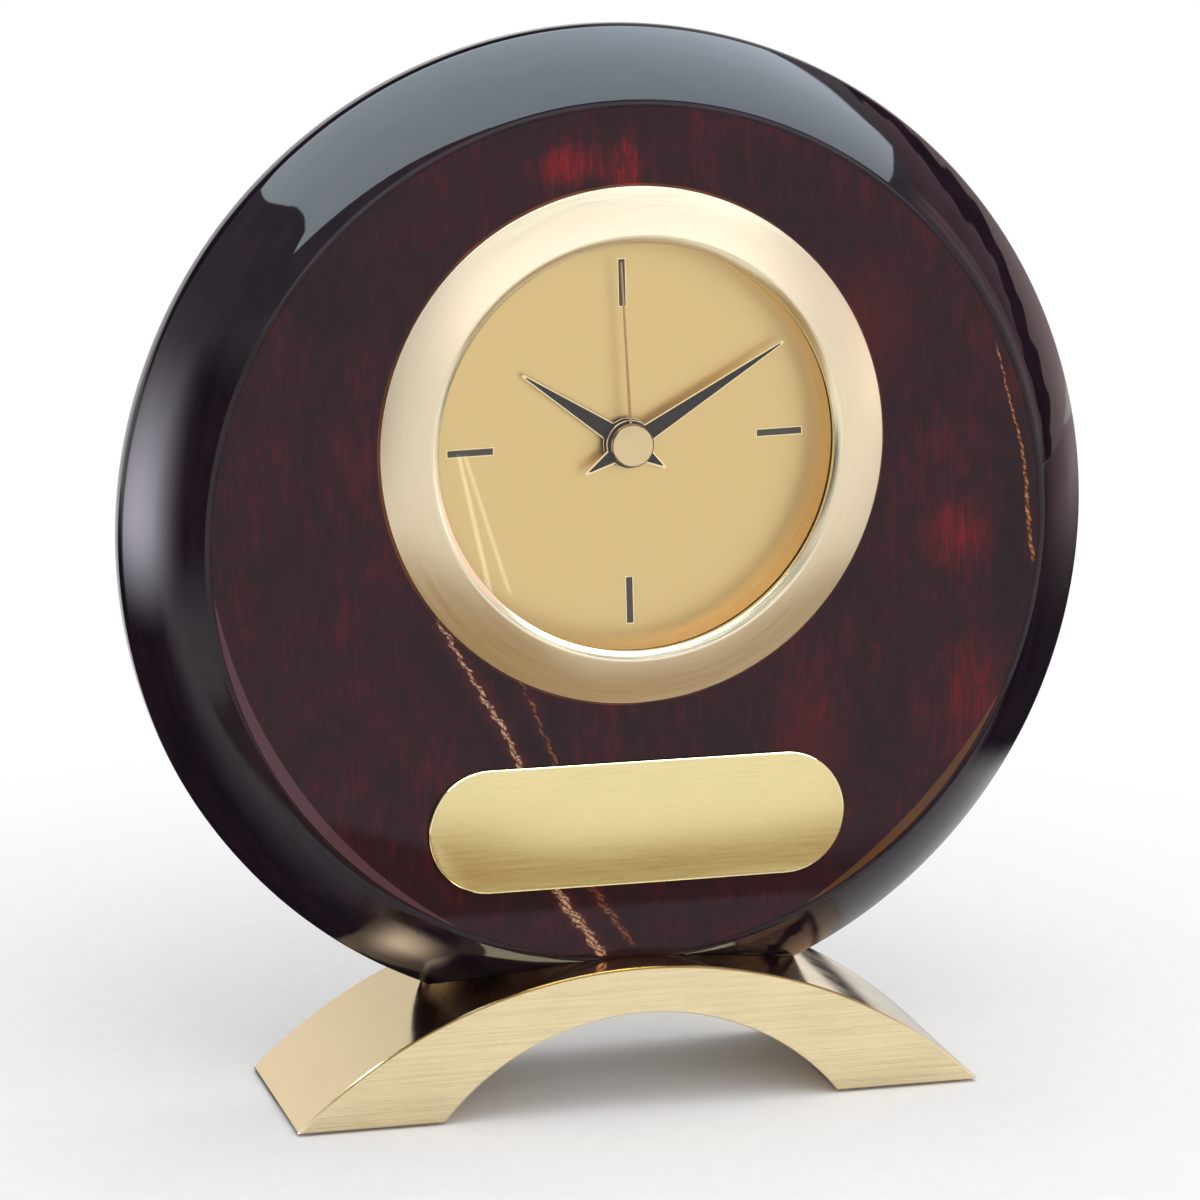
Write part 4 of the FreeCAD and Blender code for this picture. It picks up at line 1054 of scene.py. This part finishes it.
# %% Soft studio light
room = bpy.data.worlds.new("room")
room.use_nodes = True
scene.world = room
tree = room.node_tree
height = axes(add("TexCoord", tree=tree).outputs["Generated"])[2]
tone = shades(linear(height, 0.5, 0.5), [(0.45, 0.95), (0.64, 0.85), (0.76, 0.45), (1.0, 0.36)])
tone = blend(add("LightPath", tree=tree).outputs["Is Camera Ray"], tone, (1.0, 1.0, 1.0))
ground = tree.nodes["Background"]
drive(ground, "Color", tone)


def soft_box(name, where, aim, size, radiance, shine=True):
    """An area lamp of this brightness per area, facing a point."""
    data = bpy.data.lights.new(name, "AREA")
    data.shape = "RECTANGLE"
    data.size, data.size_y = size
    data.energy = radiance * math.pi * size[0] * size[1]
    lamp = bpy.data.objects.new(name, data)
    scene.collection.objects.link(lamp)
    heading = (Vector(aim) - Vector(where)).normalized()
    lamp.matrix_world = Matrix.Translation(where) @ heading.to_track_quat("-Z", "Y").to_matrix().to_4x4()
    lamp.visible_camera = False
    lamp.visible_glossy = shine
    return lamp


clock_middle = (0, 0, 0.1)
soft_box("overhead", (0.1, -0.1, 1.3), clock_middle, (1.6, 1.2), 1.9, shine=False)
key = soft_box("front_key", (0.30, -1.5, 1.0), clock_middle, (2.4, 0.9), 0.98)
key.data.color = (1.0, 0.985, 1.10)

# %% [markdown]
# Polished lacquer shows what stands round it, so a studio puts cards there: a bright
# one overhead for the pale band on the bevel, dark ones behind and on the table,
# brown ones to the right, lilac glows at both sides, and small ones for the arch and
# the lens. These are seen only by reflection and light nothing, so the level stays
# plain.

# %% Cards that only show in polished surfaces
def card(name, place, size, colours):
    """A flat card. The function called colours turns X, Y and Z into its colour and cover."""
    shape = bmesh.new()
    bmesh.ops.create_grid(shape, x_segments=1, y_segments=1, size=0.5)
    shape.transform(place @ Matrix.Diagonal((*size, 1, 1)))
    made = to_object(name, shape)
    made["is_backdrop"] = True
    for way in ("camera", "diffuse", "shadow", "transmission", "volume_scatter"):
        setattr(made, "visible_" + way, False)
    material, tree = bare_finish(name)
    colour, cover = colours(*axes(plain_spots(tree)))
    light = add("Emission", {"Color": colour}, tree).outputs[0]
    show_mix(cover, add("BsdfTransparent", tree=tree).outputs[0], light)
    made.data.materials.append(material)


def bright_sky(x, y, z):
    """Pale blue light, with a wavy left end and its far right corner cut off."""
    tone = shades(linear(x, 0.4, 0.4),
                  [(0.05, (5.2, 6.1, 6.5)), (0.5, (4.7, 5.6, 6.2)), (0.9, (4.1, 4.6, 5.1))])
    outline = [(-0.50, -0.95), (-0.38, -0.87), (-0.25, -0.79), (-0.08, -0.765), (0.08, -0.80),
               (0.25, -0.84), (0.42, -0.81), (0.70, -0.70)]
    curve = curve_through(linear(y, 1 / 1.2, 0.5 / 1.2),
                          [((depth + 0.5) / 1.2, side + 1.2) for depth, side in outline])
    past = minus(plus(x, 1.2), curve)
    cover = times(fade(x, 1.30, 1.315), band(past, -0.005, 0.005))
    corner = linear(x, 0.5, y)
    return tone, times(cover, fade(corner, 1.02, 1.10))


def dark_table(x, y, z):
    """Near black behind the clock and brown further right, with soft edges."""
    slant = maths("DIVIDE", y, maths("MAXIMUM", x, 0.05))
    brown = shades(slant, [(0.0, (0.24, 0.17, 0.17)), (0.10, (0.40, 0.28, 0.27)),
                           (0.65, (0.68, 0.53, 0.51))])
    tone = blend(band(x, 0.22, 0.60), (0.015, 0.015, 0.017), brown)
    far_side = linear(maths("MAXIMUM", x, 0.0), -2.0, y)
    to_left = maths("MAXIMUM", minus(-0.15, x), 0.0)
    far_side = linear(to_left, -1.6, far_side)
    near_side = plus(y, band(x, 0.15, 0.32, 0.0, 0.11))
    wide = times(band(x, -1.0, -0.30), fade(x, 1.30, 1.40))
    deep = times(window(near_side, -0.012, 0.76, 0.02), fade(far_side, 0.17, 0.21))
    by_foot = times(window(x, 0.052, 0.14, 0.012), fade(y, 0.09, 0.16))
    deep = times(deep, linear(by_foot, -0.85, 1.0))
    return tone, times(wide, deep)


def warm_front(x, y, z):
    """A brown strip in front of the arch's top, wider at its left."""
    reach = plus(band(x, -0.03, -0.005, 0.11, 0.05), band(x, 0.045, 0.075, 0.0, 0.015))
    near_side = plus(y, reach)
    inside = times(window(x, -0.13, 0.14, 0.015),
                   times(band(near_side, -0.020, 0.012), fade(y, -0.026, -0.018)))
    return (0.38, 0.27, 0.14, 1), inside


def brown_room(x, y, z):
    """A brown wall with one dark strip that wavers."""
    slow = maths("SINE", times(z, 17.0))
    quick = maths("SINE", linear(z, 71.0, slow))
    wave = linear(slow, 0.030, times(quick, 0.012))
    side = plus(wave, linear(z, 0.39, x))
    strip = window(side, 1.31, 1.457, 0.008)
    tone = shades(minus(side, 1.0), [(0.40, (0.74, 0.57, 0.55)), (0.50, (0.50, 0.34, 0.36))])
    return blend(strip, tone, (0.03, 0.02, 0.02)), window(z, -0.1, 0.95, 0.02)


def warm_side(x, y, z):
    """Pinkish light in slanting waves."""
    wave = maths("SINE", linear(y, 60.0, times(z, 9.0)))
    tone = blend(band(wave, -0.2, 0.9), (1.35, 0.98, 0.96), (1.0, 0.70, 0.70))
    return tone, times(window(y, -0.24, 0.02, 0.04), window(z, 0.06, 0.60, 0.06))


def lilac_glow(strength, front, rear, soft, low, high):
    """A soft light between two depths, strongest at the low height."""
    def glow_colours(x, y, z):
        wide = window(y, front, rear, soft)
        tall = times(band(z, 0.0, low), fade(z, low, high))
        glow = maths("POWER", times(wide, tall), 1.5)
        return (strength, strength * 0.96, strength * 1.1, 1), glow
    return glow_colours


def dark_flag(x, y, z):
    """Black beside the left glow, nearer the camera, so that the glow ends at a clear edge."""
    cover = times(window(y, -0.24, -0.016, 0.02), fade(z, 0.18, 0.25))
    return (0.03, 0.027, 0.033, 1), times(cover, band(z, 0.0, 0.08))


def dark_back(x, y, z):
    """Black along the top and at the left."""
    beside = times(fade(x, -0.55, -0.40), band(z, 0.38, 0.46))
    cover = maths("MAXIMUM", beside, band(z, 0.62, 0.72))
    return (0.02, 0.018, 0.022, 1), times(cover, fade(x, 0.1, 0.6))


def slit(x, y, z):
    """Two fine beams that the lens shows below its left marker."""
    along = plus(y, 1.011)
    first, second = [maths("ABSOLUTE", linear(along, slant, minus(x, start)))
                     for slant, start in ((0.2264, 0.2205), (0.2170, 0.2226))]
    pair = plus(fade(first, 0.0002, 0.0008), band(second, 0.0002, 0.0008, 0.7, 0.0))
    return (9.0, 8.5, 7.0, 1), times(maths("MINIMUM", pair, 1.0), window(y, -1.0, -0.63, 0.01))


card("card_slit", shift(0.18, -0.81, 0.001), (0.16, 0.44), slit)
card("card_sky", shift(0.0, 0.10, 1.0), (2.9, 1.1), bright_sky)
card("card_back", shift(-0.7, 1.2, 0.85) @ turn_flat, (2.6, 1.6), dark_back)
card("card_table", shift(0.2, 0.38, 0.0003), (2.4, 0.84), dark_table)
card("card_front", shift(0.0, -0.08, 0.031), (0.30, 0.14), warm_front)
card("card_room", shift(1.19, 0.53, 0.50) @ turned(-66, "Z") @ turn_flat, (1.6, 1.0), brown_room)
sideways = turned(90, "Z") @ turn_flat
card("card_left", shift(-0.25, 0.04, 0.13) @ sideways, (0.26, 0.26),
     lilac_glow(9.5, -0.018, 0.076, 0.045, 0.085, 0.225))
card("card_flag", shift(-0.26, -0.12, 0.13) @ sideways, (0.30, 0.26), dark_flag)
card("card_side", shift(0.85, -0.10, 0.36) @ sideways, (0.38, 0.68), warm_side)
card("card_right", shift(0.95, -0.30, 0.2) @ sideways, (0.4, 0.4),
     lilac_glow(7.0, -0.32, -0.28, 0.03, 0.10, 0.40))
print("cards ready")

# %% [markdown]
# ## The size against the imported solids
# The box of everything shown is measured against the box of the imported solids, and
# how far it grows past it on each side is printed.

# %% Print how far the shapes grow past the imported solids
shown_low, shown_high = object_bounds()
for name, grown in (("low", solid_low - shown_low), ("high", shown_high - solid_high)):
    print("grown at the", name, "side", [round(v, 6) for v in grown])
